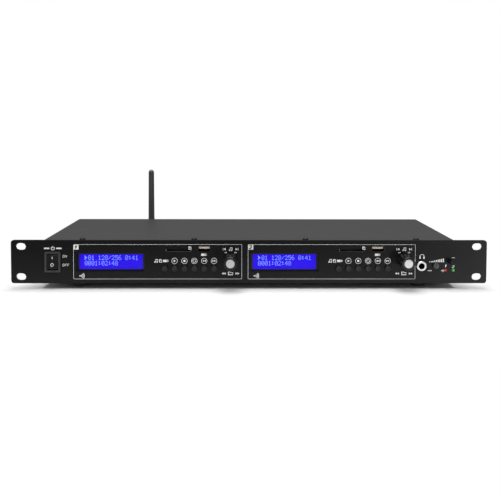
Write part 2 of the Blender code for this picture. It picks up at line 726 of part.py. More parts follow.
def cover_screws(material):
    """Pan head screws with a cross recess, which hold the cover to the base's flanges."""
    seat = LID_TOP + GAP
    crown = seat + SCREW_HEAD
    for number, (x, y) in enumerate(screw_places(), 1):
        profile = [
            (0.0, seat - SCREW_LENGTH),
            (SCREW_SHANK_RADIUS, seat - SCREW_LENGTH),
            (SCREW_SHANK_RADIUS, seat),
            (SCREW_HEAD_RADIUS, seat),
            (SCREW_HEAD_RADIUS, seat + SCREW_HEAD / 2),
            (SCREW_HEAD_RADIUS * cos(radians(35)), seat + SCREW_HEAD * sin(radians(65))),
            (0.0, crown),
        ]
        shape = turned(profile, "Z", (x, y), SMALL_ROUND)
        made = piece(f"cover_screw_{number}", [shape], material, (x, y, seat))
        arm, width = SCREW_HEAD_RADIUS, SCREW_SLOT / 2
        cross = [
            (arm / 2, -width), (arm / 2, width), (width, width), (width, arm / 2),
            (-width, arm / 2), (-width, width), (-arm / 2, width), (-arm / 2, -width),
            (-width, -width), (-width, -arm / 2), (width, -arm / 2), (width, -width),
        ]
        cut(made, [prism(cross, "Z", crown - SCREW_RECESS, crown + OVERRUN, (x, y))])


def feet(material):
    """Rubber feet, each with a stub up through the floor and a recess below."""
    names = ("foot_front_left", "foot_front_right", "foot_rear_left", "foot_rear_right")
    for name, (x, y) in zip(names, foot_places()):
        top = CASE_BOTTOM - GAP
        profile = [
            (0.0, FOOT_RECESS),
            (FOOT_RECESS_RADIUS, FOOT_RECESS),
            (FOOT_RECESS_RADIUS, 0.0),
            (FOOT_RADIUS - FOOT_RECESS / 2, 0.0),
            (FOOT_RADIUS - FOOT_RECESS / 4, FOOT_RECESS / 4),
            (FOOT_RADIUS, top),
            (FOOT_STUB_RADIUS, top),
            (FOOT_STUB_RADIUS, FLOOR_TOP + SHEET),
            (0.0, FLOOR_TOP + SHEET),
        ]
        piece(name, [turned(profile, "Z", (x, y))], material, (x, y, 0.0))


def power_switch(housing_material, rocker_material):
    """The switch's bezel and body in one, with its terminals, and the rocker on its pins."""
    x, z = SWITCH_X, PANEL_MIDDLE
    pivot = (x, FRONT + ROCKER_PIVOT, z)
    bezel_back = FRONT - GAP
    back = FRONT + SWITCH_BODY_DEPTH
    rim = rectangle(SWITCH_BEZEL_WIDTH, SWITCH_BEZEL_HEIGHT, SWITCH_BEZEL / 2)
    shapes = [prism(rim, "Y", bezel_back - SWITCH_BEZEL, bezel_back, (x, z))]
    body = rectangle(SWITCH_BODY_WIDTH, SWITCH_BODY_HEIGHT)
    shapes.append(prism(body, "Y", bezel_back - SINK, back, (x, z)))
    made = piece("power_switch_housing", shapes, housing_material)
    for number, row in enumerate((-1, 1), 1):
        centre = (x, back + TERMINAL_LENGTH / 2 - SINK, z + row * SWITCH_BODY_HEIGHT / 4)
        size = (TERMINAL_WIDTH, TERMINAL_LENGTH + 2 * SINK, TERMINAL_THICKNESS)
        join(made, [block(centre, size)], f"terminal{number}")
    well = rectangle(ROCKER_WIDTH + 2 * GAP, 2 * (ROCKER_RADIUS + GAP))
    deep = hypot(ROCKER_RADIUS * sin(ROCKER_SWING), ROCKER_BACK) + 2 * GAP + ROCKER_BACK / 2
    cut(made, [prism(well, "Y", bezel_back - SWITCH_BEZEL - OVERRUN, pivot[1] + deep, (x, z))], "well")
    pin_hole = circle(ROCKER_PIN_RADIUS + GAP, SMALL_ROUND)
    through = SWITCH_BODY_WIDTH / 2 + OVERRUN
    cut(made, [prism(pin_hole, "X", x - through, x + through, (pivot[1], z))], "pin_hole")
    rocker(x, pivot, rocker_material)


def rocker(x, pivot, material):
    """The rocker: two front planes that meet in a dip, round ends about the pivot and a keel."""
    end = atan2(ROCKER_PROUD, (ROCKER_RADIUS**2 - ROCKER_PROUD**2) ** 0.5)
    base = atan2(ROCKER_BACK / 2, ROCKER_RADIUS)
    upper = [end + (-base - end) * i / 4 for i in range(5)]
    arc = [(-ROCKER_RADIUS * sin(a), ROCKER_RADIUS * cos(a)) for a in upper]
    keel = ROCKER_RADIUS / 2
    outline = arc + [(ROCKER_BACK, keel), (ROCKER_BACK, -keel)]
    outline += [(y, -z) for y, z in arc[::-1]]
    outline.append((ROCKER_DIP - ROCKER_PROUD, 0.0))
    place = (pivot[1], pivot[2])
    half = ROCKER_WIDTH / 2
    body = prism(outline, "X", x - half, x + half, place)
    made = piece("power_rocker", [body], material, pivot)
    reach = SWITCH_BODY_WIDTH / 2 - GAP
    pins = []
    for side in (-1, 1):
        ends = sorted((x + side * (half - SINK), x + side * reach))
        pins.append(prism(circle(ROCKER_PIN_RADIUS, SMALL_ROUND), "X", *ends, place))
    join(made, pins, "pins")
    made.rotation_euler = (-ROCKER_SWING / 2, 0.0, 0.0)


def player_board(number, deck, material):
    """The upright board of a deck, with its tact switches and the encoder's body fixed on it."""
    left, right = BOARD_LEFT, BOARD_RIGHT
    low = (deck + left, BOARD_FRONT, PANEL_MIDDLE - BOARD_HEIGHT / 2)
    high = (deck + right, BOARD_BACK, PANEL_MIDDLE + BOARD_HEIGHT / 2)
    made = piece(f"deck{number}_player_board", [box(low, high)], material)
    row = edge(BUTTON_HEIGHT_ABOVE_EDGE)
    centre_y = BOARD_FRONT + (SINK - TACT_HEIGHT) / 2
    size = (TACT_SIZE, TACT_HEIGHT + SINK, TACT_SIZE)
    shapes = [block((deck + place, centre_y, row), size) for place in BUTTON_PLACES]
    shaft = (deck + KNOB_PLACE, edge(KNOB_HEIGHT_ABOVE_EDGE))
    encoder_front = BOARD_FRONT - ENCODER_HEIGHT
    centre = (shaft[0], BOARD_FRONT + (SINK - ENCODER_HEIGHT) / 2, shaft[1])
    shapes.append(block(centre, (ENCODER_SIZE, ENCODER_HEIGHT + SINK, ENCODER_SIZE)))
    plug_low, plug_high = ribbon_plug(number)
    shapes.append(box(plug_low, plug_high))
    for share in CHIP_SHARES:
        chip_x = deck + left + share * (right - left)
        middle = (chip_x, BOARD_BACK + (CHIP_HEIGHT - SINK) / 2, PANEL_MIDDLE)
        shapes.append(block(middle, (CHIP_SIZE, CHIP_HEIGHT + SINK, CHIP_SIZE)))
    join(made, shapes + wall_posts(deck))
    bushing = prism(circle(BUSHING_RADIUS), "Y", FRONT + GAP, encoder_front + SINK, shaft)
    join(made, [bushing], "bushing")
    bore_end = BOARD_FRONT - TACT_HEIGHT + STEM_IN_SWITCH + BUTTON_TRAVEL + GAP
    bores = []
    for place in BUTTON_PLACES:
        bore = circle(STEM_RADIUS + GAP, SMALL_ROUND)
        bores.append(prism(bore, "Y", BOARD_FRONT - TACT_HEIGHT - OVERRUN, bore_end, (deck + place, row)))
    bores += [grown(*card_box(deck)), grown(*usb_box(deck))]
    cut(made, bores, "bores")
    front, back = rotor_chamber()
    cut(made, [prism(circle(ROTOR_RADIUS + GAP), "Y", front, back, shaft)], "chamber")
    bore = prism(circle(SHAFT_RADIUS + GAP), "Y", FRONT - OVERRUN, (front + back) / 2, shaft)
    cut(made, [bore], "shaft_bore")


def grown(low, high):
    """A cutter one gap larger than a block on each side."""
    return box([v - GAP for v in low], [v + GAP for v in high])


def card_box(deck):
    """Outer corners of a deck's card socket."""
    x, z = deck + CARD_PLACE, edge(CARD_HEIGHT_ABOVE_EDGE)
    half, rise = CARD_WIDTH / 2 + CARD_WALL, CARD_THICKNESS / 2 + CARD_WALL
    return (x - half, PANEL_BACK + GAP, z - rise), (x + half, PANEL_BACK + GAP + CARD_DEPTH, z + rise)


def usb_box(deck):
    """Outer corners of a deck's USB socket, which ends just behind the panel's face."""
    x, z = deck + USB_PLACE, edge(USB_HEIGHT_ABOVE_EDGE)
    low = (x - USB_WIDTH / 2, FRONT + GAP, z - USB_HEIGHT / 2)
    return low, (x + USB_WIDTH / 2, FRONT + GAP + USB_DEPTH, z + USB_HEIGHT / 2)


def rotor_chamber():
    """Front and back of the hollow in which an encoder's rotor turns."""
    back = BOARD_FRONT - ROTOR_FLOOR
    return back - ROTOR_CHAMBER, back


def display(number, deck, frame_material, glass_material):
    """The metal frame of a display and the glass module that sits in it, in front of the board."""
    x, z = deck, edge(DISPLAY_HEIGHT_ABOVE_EDGE)
    front, back = FRONT + DISPLAY_TO_FRONT, BOARD_FRONT - GAP
    outer = prism(rectangle(*display_frame_size(), PANEL_CORNER / 4), "Y", front, back, (x, z))
    made = piece(f"deck{number}_lcd_frame", [outer], frame_material)
    width, height = (v + 2 * DISPLAY_GLASS_OVERLAP for v in (DISPLAY_VIEW_WIDTH, DISPLAY_VIEW_HEIGHT))
    pocket = rectangle(width + 2 * GAP, height + 2 * GAP)
    cut(made, [prism(pocket, "Y", front + DISPLAY_LIP, back + OVERRUN, (x, z))], "pocket")
    view = rectangle(DISPLAY_VIEW_WIDTH, DISPLAY_VIEW_HEIGHT)
    cut(made, [prism(view, "Y", front - OVERRUN, back - OVERRUN, (x, z))], "view")
    glass = prism(rectangle(width, height), "Y", front + DISPLAY_LIP + GAP, back, (x, z))
    piece(f"deck{number}_lcd_module", [glass], glass_material)


def card_socket(number, deck, material):
    """The card socket: a flat box with a slot in its front."""
    low, high = card_box(deck)
    made = piece(f"deck{number}_sd_socket", [box(low, high)], material)
    slot_low = (low[0] + CARD_WALL, low[1] - OVERRUN, low[2] + CARD_WALL)
    slot_high = (high[0] - CARD_WALL, high[1] - 2 * CARD_WALL, high[2] - CARD_WALL)
    cut(made, [box(slot_low, slot_high)], "slot")


def usb_socket(number, deck, material):
    """The USB socket: a shell with a closed back and a tongue in its upper half."""
    low, high = usb_box(deck)
    made = piece(f"deck{number}_usb_socket", [box(low, high)], material)
    back = high[1] - 2 * USB_WALL
    inner_low = (low[0] + USB_WALL, low[1] - OVERRUN, low[2] + USB_WALL)
    inner_high = (high[0] - USB_WALL, back, high[2] - USB_WALL)
    cut(made, [box(inner_low, inner_high)], "mouth")
    x, top = (low[0] + high[0]) / 2, inner_high[2] - USB_WALL
    tongue_low = (x - USB_TONGUE_WIDTH / 2, low[1] + USB_TONGUE_RECESS, top - USB_TONGUE)
    tongue_high = (x + USB_TONGUE_WIDTH / 2, back + USB_WALL, top)
    join(made, [box(tongue_low, tongue_high)], "tongue")


def deck_buttons(number, deck, material):
    """Six round caps, each with a flange behind the panel and a stem in its tact switch."""
    z = edge(BUTTON_HEIGHT_ABOVE_EDGE)
    front = FRONT - BUTTON_PROUD
    flange = PANEL_BACK + GAP
    stem_end = BOARD_FRONT - TACT_HEIGHT + STEM_IN_SWITCH
    profile = [
        (0.0, front),
        (BUTTON_RADIUS - BUTTON_EDGE, front),
        (BUTTON_RADIUS, front + BUTTON_EDGE),
        (BUTTON_RADIUS, flange),
        (BUTTON_FLANGE_RADIUS, flange),
        (BUTTON_FLANGE_RADIUS, flange + BUTTON_FLANGE),
        (STEM_RADIUS, flange + BUTTON_FLANGE),
        (STEM_RADIUS, stem_end),
        (0.0, stem_end),
    ]
    for count, place in enumerate(BUTTON_PLACES, 1):
        centre = (deck + place, z)
        shape = turned(profile, "Y", centre, BUTTON_ROUND)
        piece(f"deck{number}_button_{count}", [shape], material, (centre[0], front, z))


def encoder_rotor(number, deck, material):
    """The rotor in the encoder: a disc whose flatted bore the knob's shaft drives."""
    centre = (deck + KNOB_PLACE, edge(KNOB_HEIGHT_ABOVE_EDGE))
    low = rotor_chamber()[0] + GAP
    origin = (centre[0], low, centre[1])
    disc = prism(circle(ROTOR_RADIUS), "Y", low, low + ROTOR_THICKNESS, centre)
    made = piece(f"deck{number}_encoder_rotor", [disc], material, origin)
    bore = flatted(SHAFT_RADIUS + GAP, SHAFT_FLAT + GAP)
    cut(made, [prism(bore, "Y", low - OVERRUN, low + ROTOR_THICKNESS + OVERRUN, centre)], "bore")


def deck_knob(number, deck, material):
    """The knob with its shaft: tapered grip, sunk face, and a flat where the rotor holds it."""
    centre = (deck + KNOB_PLACE, edge(KNOB_HEIGHT_ABOVE_EDGE))
    front, back = FRONT - KNOB_PROUD, FRONT - KNOB_CLEAR
    chamber_front, chamber_back = rotor_chamber()
    end = chamber_back - KNOB_TRAVEL - GAP
    tip = KNOB_RADIUS - KNOB_TAPER
    round_share = 1 - cos(pi / 4)
    profile = [
        (0.0, front + KNOB_FACE_STEP),
        (KNOB_FACE_RADIUS, front + KNOB_FACE_STEP),
        (KNOB_FACE_RADIUS, front),
        (tip - KNOB_EDGE, front),
        (tip - round_share * KNOB_EDGE, front + round_share * KNOB_EDGE),
        (tip, front + KNOB_EDGE),
        (KNOB_RADIUS, back),
        (SHAFT_RADIUS, back),
        (SHAFT_RADIUS, end),
        (0.0, end),
    ]
    shape = turned(profile, "Y", centre, KNOB_ROUND)
    made = piece(f"deck{number}_knob", [shape], material, (centre[0], front, centre[1]))
    low = (centre[0] - BUSHING_RADIUS, chamber_front - GAP, centre[1] + SHAFT_FLAT)
    high = (centre[0] + BUSHING_RADIUS, end + OVERRUN, centre[1] + SHAFT_RADIUS + OVERRUN)
    cut(made, [box(low, high)], "flat")


def headphone_board(material):
    """The flat board of the headphone section, with the volume control's and the switch's bodies."""
    left, right = phones_board_sides()
    front, back = phones_board_span()
    bottom = edge(PHONES_BOARD_HEIGHT)
    top = bottom + BOARD_THICKNESS
    made = piece("headphone_board", [box((left, front, bottom), (right, back, top))], material)
    volume = (VOLUME_X, edge(VOLUME_HEIGHT_ABOVE_EDGE))
    pot_front = FRONT + POT_TO_FRONT
    low = (volume[0] - POT_SIZE / 2, pot_front, top - SINK)
    pot = box(low, (volume[0] + POT_SIZE / 2, pot_front + POT_DEPTH, volume[1] + POT_SIZE / 2))
    source = (SOURCE_X, edge(SOURCE_HEIGHT_ABOVE_EDGE))
    switch_front = FRONT + SOURCE_SWITCH_TO_FRONT
    reach = SOURCE_SWITCH_SIZE / 2
    low = (source[0] - reach, switch_front, top - SINK)
    switch = box(low, (source[0] + reach, switch_front + SOURCE_SWITCH_DEPTH, source[1] + reach))
    join(made, [pot, switch, *floor_posts((left + right) / 2, right - left, (front, back), bottom)])
    bore_end = switch_front + SOURCE_STEM + SOURCE_TRAVEL + GAP
    pot_bore = circle(POT_SHAFT_RADIUS + GAP, SMALL_ROUND)
    switch_bore = circle(SOURCE_STEM_RADIUS + GAP, SMALL_ROUND)
    bores = [
        prism(pot_bore, "Y", pot_front - OVERRUN, pot_front + POT_DEPTH - POT_WALL, volume),
        prism(switch_bore, "Y", switch_front - OVERRUN, bore_end, source),
    ]
    cut(made, bores, "bores")


def headphone_jack(material):
    """The jack: a block on the board with a threaded nose and ring through the panel."""
    x, z = JACK_X, edge(JACK_HEIGHT_ABOVE_EDGE)
    seat = edge(PHONES_BOARD_HEIGHT) + BOARD_THICKNESS + GAP
    low = (x - JACK_BODY_WIDTH / 2, PANEL_BACK + GAP, seat)
    high = (x + JACK_BODY_WIDTH / 2, low[1] + JACK_BODY_DEPTH, 2 * z - seat)
    made = piece("headphone_jack", [box(low, high)], material)
    ring = FRONT - GAP - JACK_RING_PROUD
    profile = [
        (0.0, ring),
        (JACK_RING_RADIUS - JACK_RING_PROUD / 3, ring),
        (JACK_RING_RADIUS, ring + JACK_RING_PROUD / 3),
        (JACK_RING_RADIUS, FRONT - GAP),
        (JACK_NOSE_RADIUS, FRONT - GAP),
        (JACK_NOSE_RADIUS, low[1] + SINK),
        (0.0, low[1] + SINK),
    ]
    join(made, [turned(profile, "Y", (x, z), KNOB_ROUND)], "nose")
    bore = prism(circle(JACK_HOLE_RADIUS), "Y", ring - OVERRUN, high[1] - 2 * SHEET, (x, z))
    cut(made, [bore], "bore")


def volume_knob(material):
    """The short round knob and the shaft that turns in the volume control."""
    centre = (VOLUME_X, edge(VOLUME_HEIGHT_ABOVE_EDGE))
    front = FRONT - VOLUME_PROUD
    end = FRONT + POT_TO_FRONT + POT_DEPTH - POT_WALL - GAP
    profile = [
        (0.0, front),
        (VOLUME_RADIUS - BUTTON_EDGE, front),
        (VOLUME_RADIUS, front + BUTTON_EDGE),
        (VOLUME_RADIUS, PANEL_BACK + SHEET),
        (POT_SHAFT_RADIUS, PANEL_BACK + SHEET),
        (POT_SHAFT_RADIUS, end),
        (0.0, end),
    ]
    made = piece("volume_knob", [turned(profile, "Y", centre)], material, (centre[0], front, centre[1]))
    low = (centre[0] - VOLUME_SLOT / 2, front - OVERRUN, centre[1])
    high = (centre[0] + VOLUME_SLOT / 2, front + VOLUME_SLOT, centre[1] + VOLUME_RADIUS + OVERRUN)
    cut(made, [box(low, high)], "pointer")


def source_button(material):
    """The long round button that picks which deck is heard."""
    centre = (SOURCE_X, edge(SOURCE_HEIGHT_ABOVE_EDGE))
    front, flange = FRONT - SOURCE_PROUD, PANEL_BACK + GAP
    end = FRONT + SOURCE_SWITCH_TO_FRONT + SOURCE_STEM
    profile = [
        (0.0, front),
        (SOURCE_RADIUS - BUTTON_EDGE, front),
        (SOURCE_RADIUS, front + BUTTON_EDGE),
        (SOURCE_RADIUS, flange),
        (SOURCE_FLANGE_RADIUS, flange),
        (SOURCE_FLANGE_RADIUS, flange + BUTTON_FLANGE),
        (SOURCE_STEM_RADIUS, flange + BUTTON_FLANGE),
        (SOURCE_STEM_RADIUS, end),
        (0.0, end),
    ]
    piece("source_button", [turned(profile, "Y", centre)], material, (centre[0], front, centre[1]))


def lamps(materials):
    """Two round lamps, each on two leads that bend down to the board."""
    z = edge(LAMP_HEIGHT_ABOVE_EDGE)
    seat = edge(PHONES_BOARD_HEIGHT) + BOARD_THICKNESS + GAP
    front = FRONT - LAMP_PROUD
    back = front + LAMP_LENGTH
    bend = FRONT + LAMP_BEND_DEPTH
    profile = [
        (0.0, front),
        (LAMP_RADIUS * sin(pi / 4), front + LAMP_RADIUS * (1 - cos(pi / 4))),
        (LAMP_RADIUS, front + LAMP_RADIUS),
        (LAMP_RADIUS, back),
        (0.0, back),
    ]
    for number, (x, material) in enumerate(zip(LAMP_PLACES, materials), 1):
        made = piece(f"lamp_{number}", [turned(profile, "Y", (x, z), SMALL_ROUND)], material, (x, front, z))
        leads = []
        for side in (-1, 1):
            lead = x + side * LAMP_LEAD_SPREAD / 2
            outline = [
                (back - SINK, z - LAMP_LEAD / 2),
                (bend - LAMP_LEAD, z - LAMP_LEAD / 2),
                (bend - LAMP_LEAD, seat),
                (bend, seat),
                (bend, z + LAMP_LEAD / 2),
                (back - SINK, z + LAMP_LEAD / 2),
            ]
            leads.append(prism(outline, "X", lead - LAMP_LEAD / 2, lead + LAMP_LEAD / 2))
        join(made, leads, "leads")


def inlet_mouth():
    """Outline and centre of the mains inlet's mouth, whose upper corners are cut off."""
    width, height, corner = INLET_MOUTH_WIDTH / 2, INLET_MOUTH_HEIGHT / 2, INLET_MOUTH_CUT
    outline = [
        (width, -height), (width, height - corner), (width - corner, height),
        (corner - width, height), (-width, height - corner), (-width, -height),
    ]
    return outline, (INLET_X, PANEL_MIDDLE + INLET_MOUTH_RISE)


def inlet_terminal_end():
    """The inner end of the inlet's terminals."""
    return REAR - INLET_BODY_DEPTH - TERMINAL_LENGTH


def mains_inlet(material):
    """The mains inlet: flange, body, mouth with three pins, fuse bay and inner terminals."""
    place = (INLET_X, PANEL_MIDDLE)
    face = REAR + GAP + INLET_FLANGE
    flange = rectangle(INLET_FLANGE_WIDTH, INLET_FLANGE_HEIGHT, PANEL_CORNER)
    body = rectangle(INLET_BODY_WIDTH, INLET_BODY_HEIGHT)
    made = piece("mains_inlet", [prism(flange, "Y", REAR + GAP, face, place)], material)
    join(made, [prism(body, "Y", REAR - INLET_BODY_DEPTH, REAR + GAP + SINK, place)], "body")
    outline, mouth = inlet_mouth()
    bottom = face - INLET_MOUTH_DEPTH
    low, high = fuse_tray()
    bay_low = (low[0] - GAP, low[1] - GAP, low[2] - GAP)
    bay_high = (high[0] + GAP, face + OVERRUN, high[2] + GAP)
    cut(made, [prism(outline, "Y", bottom, face + OVERRUN, mouth), box(bay_low, bay_high)], "hollows")
    shapes = []
    pin = rectangle(INLET_PIN_WIDTH, INLET_PIN_HEIGHT)
    end = inlet_terminal_end()
    for side in (-1, 0, 1):
        x = mouth[0] + side * INLET_PIN_SPREAD
        rise = 0.0 if side else INLET_EARTH_RISE
        shapes.append(prism(pin, "Y", bottom - SINK, bottom + INLET_PIN_LENGTH, (x, mouth[1] + rise)))
        centre = (x, (end + REAR - INLET_BODY_DEPTH + SINK) / 2, mouth[1])
        size = (TERMINAL_THICKNESS, TERMINAL_LENGTH + SINK, TERMINAL_WIDTH)
        shapes.append(block(centre, size))
    join(made, shapes, "pins")


def fuse_tray():
    """Corners of the fuse drawer's tray, without its front."""
    face = REAR + GAP + INLET_FLANGE
    x, z = INLET_X, PANEL_MIDDLE - FUSE_DROP
    low = (x - FUSE_WIDTH / 2, face - FUSE_DEPTH, z - FUSE_HEIGHT / 2)
    return low, (x + FUSE_WIDTH / 2, face + GAP, z + FUSE_HEIGHT / 2)


def fuse_drawer(material):
    """The drawer that holds the fuse: a tray with a bay and a front that overlaps the inlet."""
    low, high = fuse_tray()
    tray = box(low, (high[0], high[1] + SINK, high[2]))
    rim = FUSE_GRIP / 2
    front_low = (low[0] - rim, high[1], low[2] - rim)
    front = box(front_low, (high[0] + rim, high[1] + FUSE_GRIP, high[2] + rim))
    made = piece("fuse_drawer", [tray, front], material, ((low[0] + high[0]) / 2, high[1], low[2]))
    bay_low = (low[0] + rim * 2, low[1] + rim * 2, (low[2] + high[2]) / 2)
    bay_high = (high[0] - rim * 2, bay_low[1] + FUSE_BAY, high[2] + OVERRUN)
    cut(made, [box(bay_low, bay_high)], "bay")


def rca_places():
    """The six output sockets: three columns, two rows."""
    middle = edge(RCA_MIDDLE_ABOVE_EDGE)
    rows = (middle - RCA_RISE / 2, middle + RCA_RISE / 2)
    return [(RCA_FIRST + i * RCA_PITCH, z) for i in range(RCA_COLUMNS) for z in rows]


def rca_block(material):
    """The output sockets on one block that stands on the output board."""
    places = rca_places()
    edge_room = RCA_RADIUS + RCA_BODY_MARGIN
    back = REAR - SHEET - GAP
    low = (places[0][0] - edge_room, back - RCA_BODY_DEPTH, LOW_BOARD_TOP + GAP)
    high = (places[-1][0] + edge_room, back, places[-1][1] + edge_room - RCA_BODY_MARGIN / 2)
    made = piece("rca_block", [box(low, high)], material)
    end = REAR + RCA_LENGTH
    join(made, [prism(circle(RCA_RADIUS), "Y", back - SINK, end, p) for p in places], "barrels")
    bore = circle(RCA_HOLE_RADIUS, SMALL_ROUND)
    cut(made, [prism(bore, "Y", end - RCA_HOLE_DEPTH, end + OVERRUN, p) for p in places], "bores")


def antenna_centre():
    """The antenna socket's place on the rear wall."""
    return ANTENNA_X, edge(ANTENNA_HEIGHT_ABOVE_EDGE)


def antenna_socket(material):
    """The threaded socket with its nut outside, its flange inside and its tail for the cable."""
    inside = REAR - SHEET - GAP
    profile = [
        (0.0, inside - SOCKET_NUT - SOCKET_TAIL),
        (SOCKET_TAIL_RADIUS, inside - SOCKET_NUT - SOCKET_TAIL),
        (SOCKET_TAIL_RADIUS, inside - SOCKET_NUT),
        (SOCKET_NUT_RADIUS, inside - SOCKET_NUT),
        (SOCKET_NUT_RADIUS, inside),
        (SOCKET_RADIUS, inside),
        (SOCKET_RADIUS, REAR + GAP),
        (SOCKET_NUT_RADIUS, REAR + GAP),
        (SOCKET_NUT_RADIUS, REAR + GAP + SOCKET_NUT),
        (SOCKET_RADIUS, REAR + GAP + SOCKET_NUT),
        (SOCKET_RADIUS, REAR + SOCKET_LENGTH),
        (0.0, REAR + SOCKET_LENGTH),
    ]
    piece("antenna_socket", [turned(profile, "Y", antenna_centre())], material)


def antenna(material):
    """The knuckle that turns on the socket, and the rod that folds in the knuckle's fork."""
    x, z = antenna_centre()
    hinge = REAR + ANTENNA_HINGE_TO_WALL
    start = REAR + SOCKET_NUT + 2 * GAP
    bore_end = REAR + SOCKET_LENGTH + GAP
    end = bore_end + SLEEVE_END
    profile = [
        (SOCKET_RADIUS + GAP, start),
        (SLEEVE_RADIUS, start),
        (SLEEVE_RADIUS, end),
        (0.0, end),
        (0.0, bore_end),
        (SOCKET_RADIUS + GAP, bore_end),
    ]
    made = piece("antenna_knuckle", [turned(profile, "Y", (x, z))], material, (x, hinge, z))
    round_end = [(EAR_RADIUS * cos(a), EAR_RADIUS * sin(a)) for a in (i * pi / 8 - pi / 2 for i in range(9))]
    ear = [(end - SINK - hinge, -EAR_RADIUS), *round_end, (end - SINK - hinge, EAR_RADIUS)]
    inner = ROD_TONGUE / 2 + GAP
    outer = inner + EAR_THICKNESS
    ears = [prism(ear, "X", x + inner, x + outer, (hinge, z))]
    ears.append(prism(ear, "X", x - outer, x - inner, (hinge, z)))
    join(made, ears, "ears")
    bore = circle(HINGE_PIN_RADIUS + GAP, SMALL_ROUND)
    pin_hole = prism(bore, "X", x - outer - OVERRUN, x + outer + OVERRUN, (hinge, z))
    cut(made, [pin_hole], "pin_hole")
    antenna_rod(x, hinge, z, outer, material)


def antenna_rod(x, hinge, z, reach, material):
    """The rod: a round shoulder over the fork, a taper to the tip, a tongue below and its pin."""
    base, tip = z + ROD_SHOULDER, z + ROD_LENGTH
    lid = LID_TOP
    dome = [(ROD_TIP_RADIUS * cos(a), tip - ROD_TIP_RADIUS * (1 - sin(a))) for a in (0.0, pi / 6, pi / 3)]
    profile = [
        (0.0, base),
        (ROD_BASE_RADIUS, base),
        (ROD_BASE_RADIUS, (base + lid) / 2),
        (ROD_LID_RADIUS, lid),
        *dome,
        (0.0, tip),
    ]
    made = piece("antenna_rod", [turned(profile, "Z", (x, hinge))], material, (x, hinge, z))
    lower = [(EAR_RADIUS * cos(a), EAR_RADIUS * sin(a)) for a in (-i * pi / 8 for i in range(9))]
    outline = [*lower, (-EAR_RADIUS, ROD_SHOULDER + SINK), (EAR_RADIUS, ROD_SHOULDER + SINK)]
    half = ROD_TONGUE / 2
    join(made, [prism(outline, "X", x - half, x + half, (hinge, z))], "tongue")
    join(made, [prism(circle(HINGE_PIN_RADIUS, SMALL_ROUND), "X", x - reach, x + reach, (hinge, z))], "pin")


def ribbon_plug(number):
    """Corners of the ribbon's plug on the back of a player board."""
    x = RIBBON_PLACES[number - 1]
    half = RIBBON_WIDTH / 2 + SHEET
    low = (x - half, BOARD_BACK - SINK, PANEL_MIDDLE - PLUG_HEIGHT / 2)
    return low, (x + half, BOARD_BACK + PLUG_DEPTH, PANEL_MIDDLE + PLUG_HEIGHT / 2)


def output_plug(number):
    """Corners of the ribbon's plug on the front edge of the output board."""
    x = RIBBON_PLACES[number - 1]
    half = RIBBON_WIDTH / 2 + SHEET
    front = output_board_span()[0] + SHEET
    low = (x - half, front, LOW_BOARD_TOP - SINK)
    return low, (x + half, front + PLUG_DEPTH, LOW_BOARD_TOP + PLUG_HEIGHT)


def ribbon(number, material):
    """A flat cable from a player board's plug to the output board's, in one even S."""
    start, end = ribbon_plug(number)[1], output_plug(number)[0]
    front, back = start[1] + GAP, end[1] - GAP
    high, low = PANEL_MIDDLE, LOW_BOARD_TOP + PLUG_HEIGHT / 2
    steps = 16
    line = []
    for i in range(steps + 1):
        share = min(1.0, max(0.0, (i - 1) / (steps - 2)))
        line.append((front + (back - front) * i / steps, high + (low - high) * (1 - cos(pi * share)) / 2))
    half = RIBBON_THICKNESS / 2
    outline = [(y, z - half) for y, z in line] + [(y, z + half) for y, z in line[::-1]]
    x = RIBBON_PLACES[number - 1]
    shape = prism(outline, "X", x - RIBBON_WIDTH / 2, x + RIBBON_WIDTH / 2)
    piece(f"deck{number}_ribbon_cable", [shape], material)


def power_plugs():
    """Corners of the two cord plugs at the left edge of the power supply board, front and rear."""
    front, back = power_board_span()
    left = POWER_BOARD_LEFT + SHEET
    plugs = []
    for share in POWER_PLUG_SHARES:
        middle = front + share * (back - front)
        low = (left, middle - POWER_PLUG_LENGTH / 2, LOW_BOARD_TOP - SINK)
        high = (left + POWER_PLUG_WIDTH, middle + POWER_PLUG_LENGTH / 2, LOW_BOARD_TOP + POWER_PLUG_HEIGHT)
        plugs.append((low, high))
    return plugs


def power_board(material):
    """The power supply board with its plugs, two capacitors and a heat sink."""
    front, back = power_board_span()
    left = POWER_BOARD_LEFT
    right = left + POWER_BOARD_WIDTH
    low = (left, front, LOW_BOARD)
    made = piece("power_supply_board", [box(low, (right, back, LOW_BOARD_TOP))], material)
    shapes = [box(*corners) for corners in power_plugs()]
    top = LOW_BOARD_TOP - SINK
    for side in (-1, 1):
        y = (front + back) / 2 + side * (CORE_LENGTH / 2 + CAPACITOR_RADIUS + SHEET)
        place = (POWER_BOARD_CENTRE, y)
        shapes.append(prism(circle(CAPACITOR_RADIUS), "Z", top, top + CAPACITOR_HEIGHT, place))
    fin = (right - 2 * SINK_WIDTH, (front + back - SINK_LENGTH) / 2, top)
    shapes.append(box(fin, (fin[0] + SINK_WIDTH, fin[1] + SINK_LENGTH, top + SINK_HEIGHT)))
    shapes += floor_posts(POWER_BOARD_CENTRE, POWER_BOARD_WIDTH, (front, back), LOW_BOARD)
    join(made, shapes)


def power_transformer(material):
    """The small transformer on the power supply board: a core with a winding through it."""
    front, back = power_board_span()
    x, y, seat = POWER_BOARD_CENTRE, (front + back) / 2, LOW_BOARD_TOP + GAP
    core = block((x, y, seat + CORE_HEIGHT / 2), (CORE_WIDTH, CORE_LENGTH, CORE_HEIGHT))
    made = piece("power_transformer", [core], material)
    middle = seat + CORE_HEIGHT / 2
    wound = rectangle(CORE_LENGTH - 2 * CORE_WINDING, CORE_HEIGHT - 2 * CORE_WINDING, CORE_WINDING)
    half = CORE_WIDTH / 2 + CORE_WINDING
    join(made, [prism(wound, "X", x - half, x + half, (y, middle))], "winding")


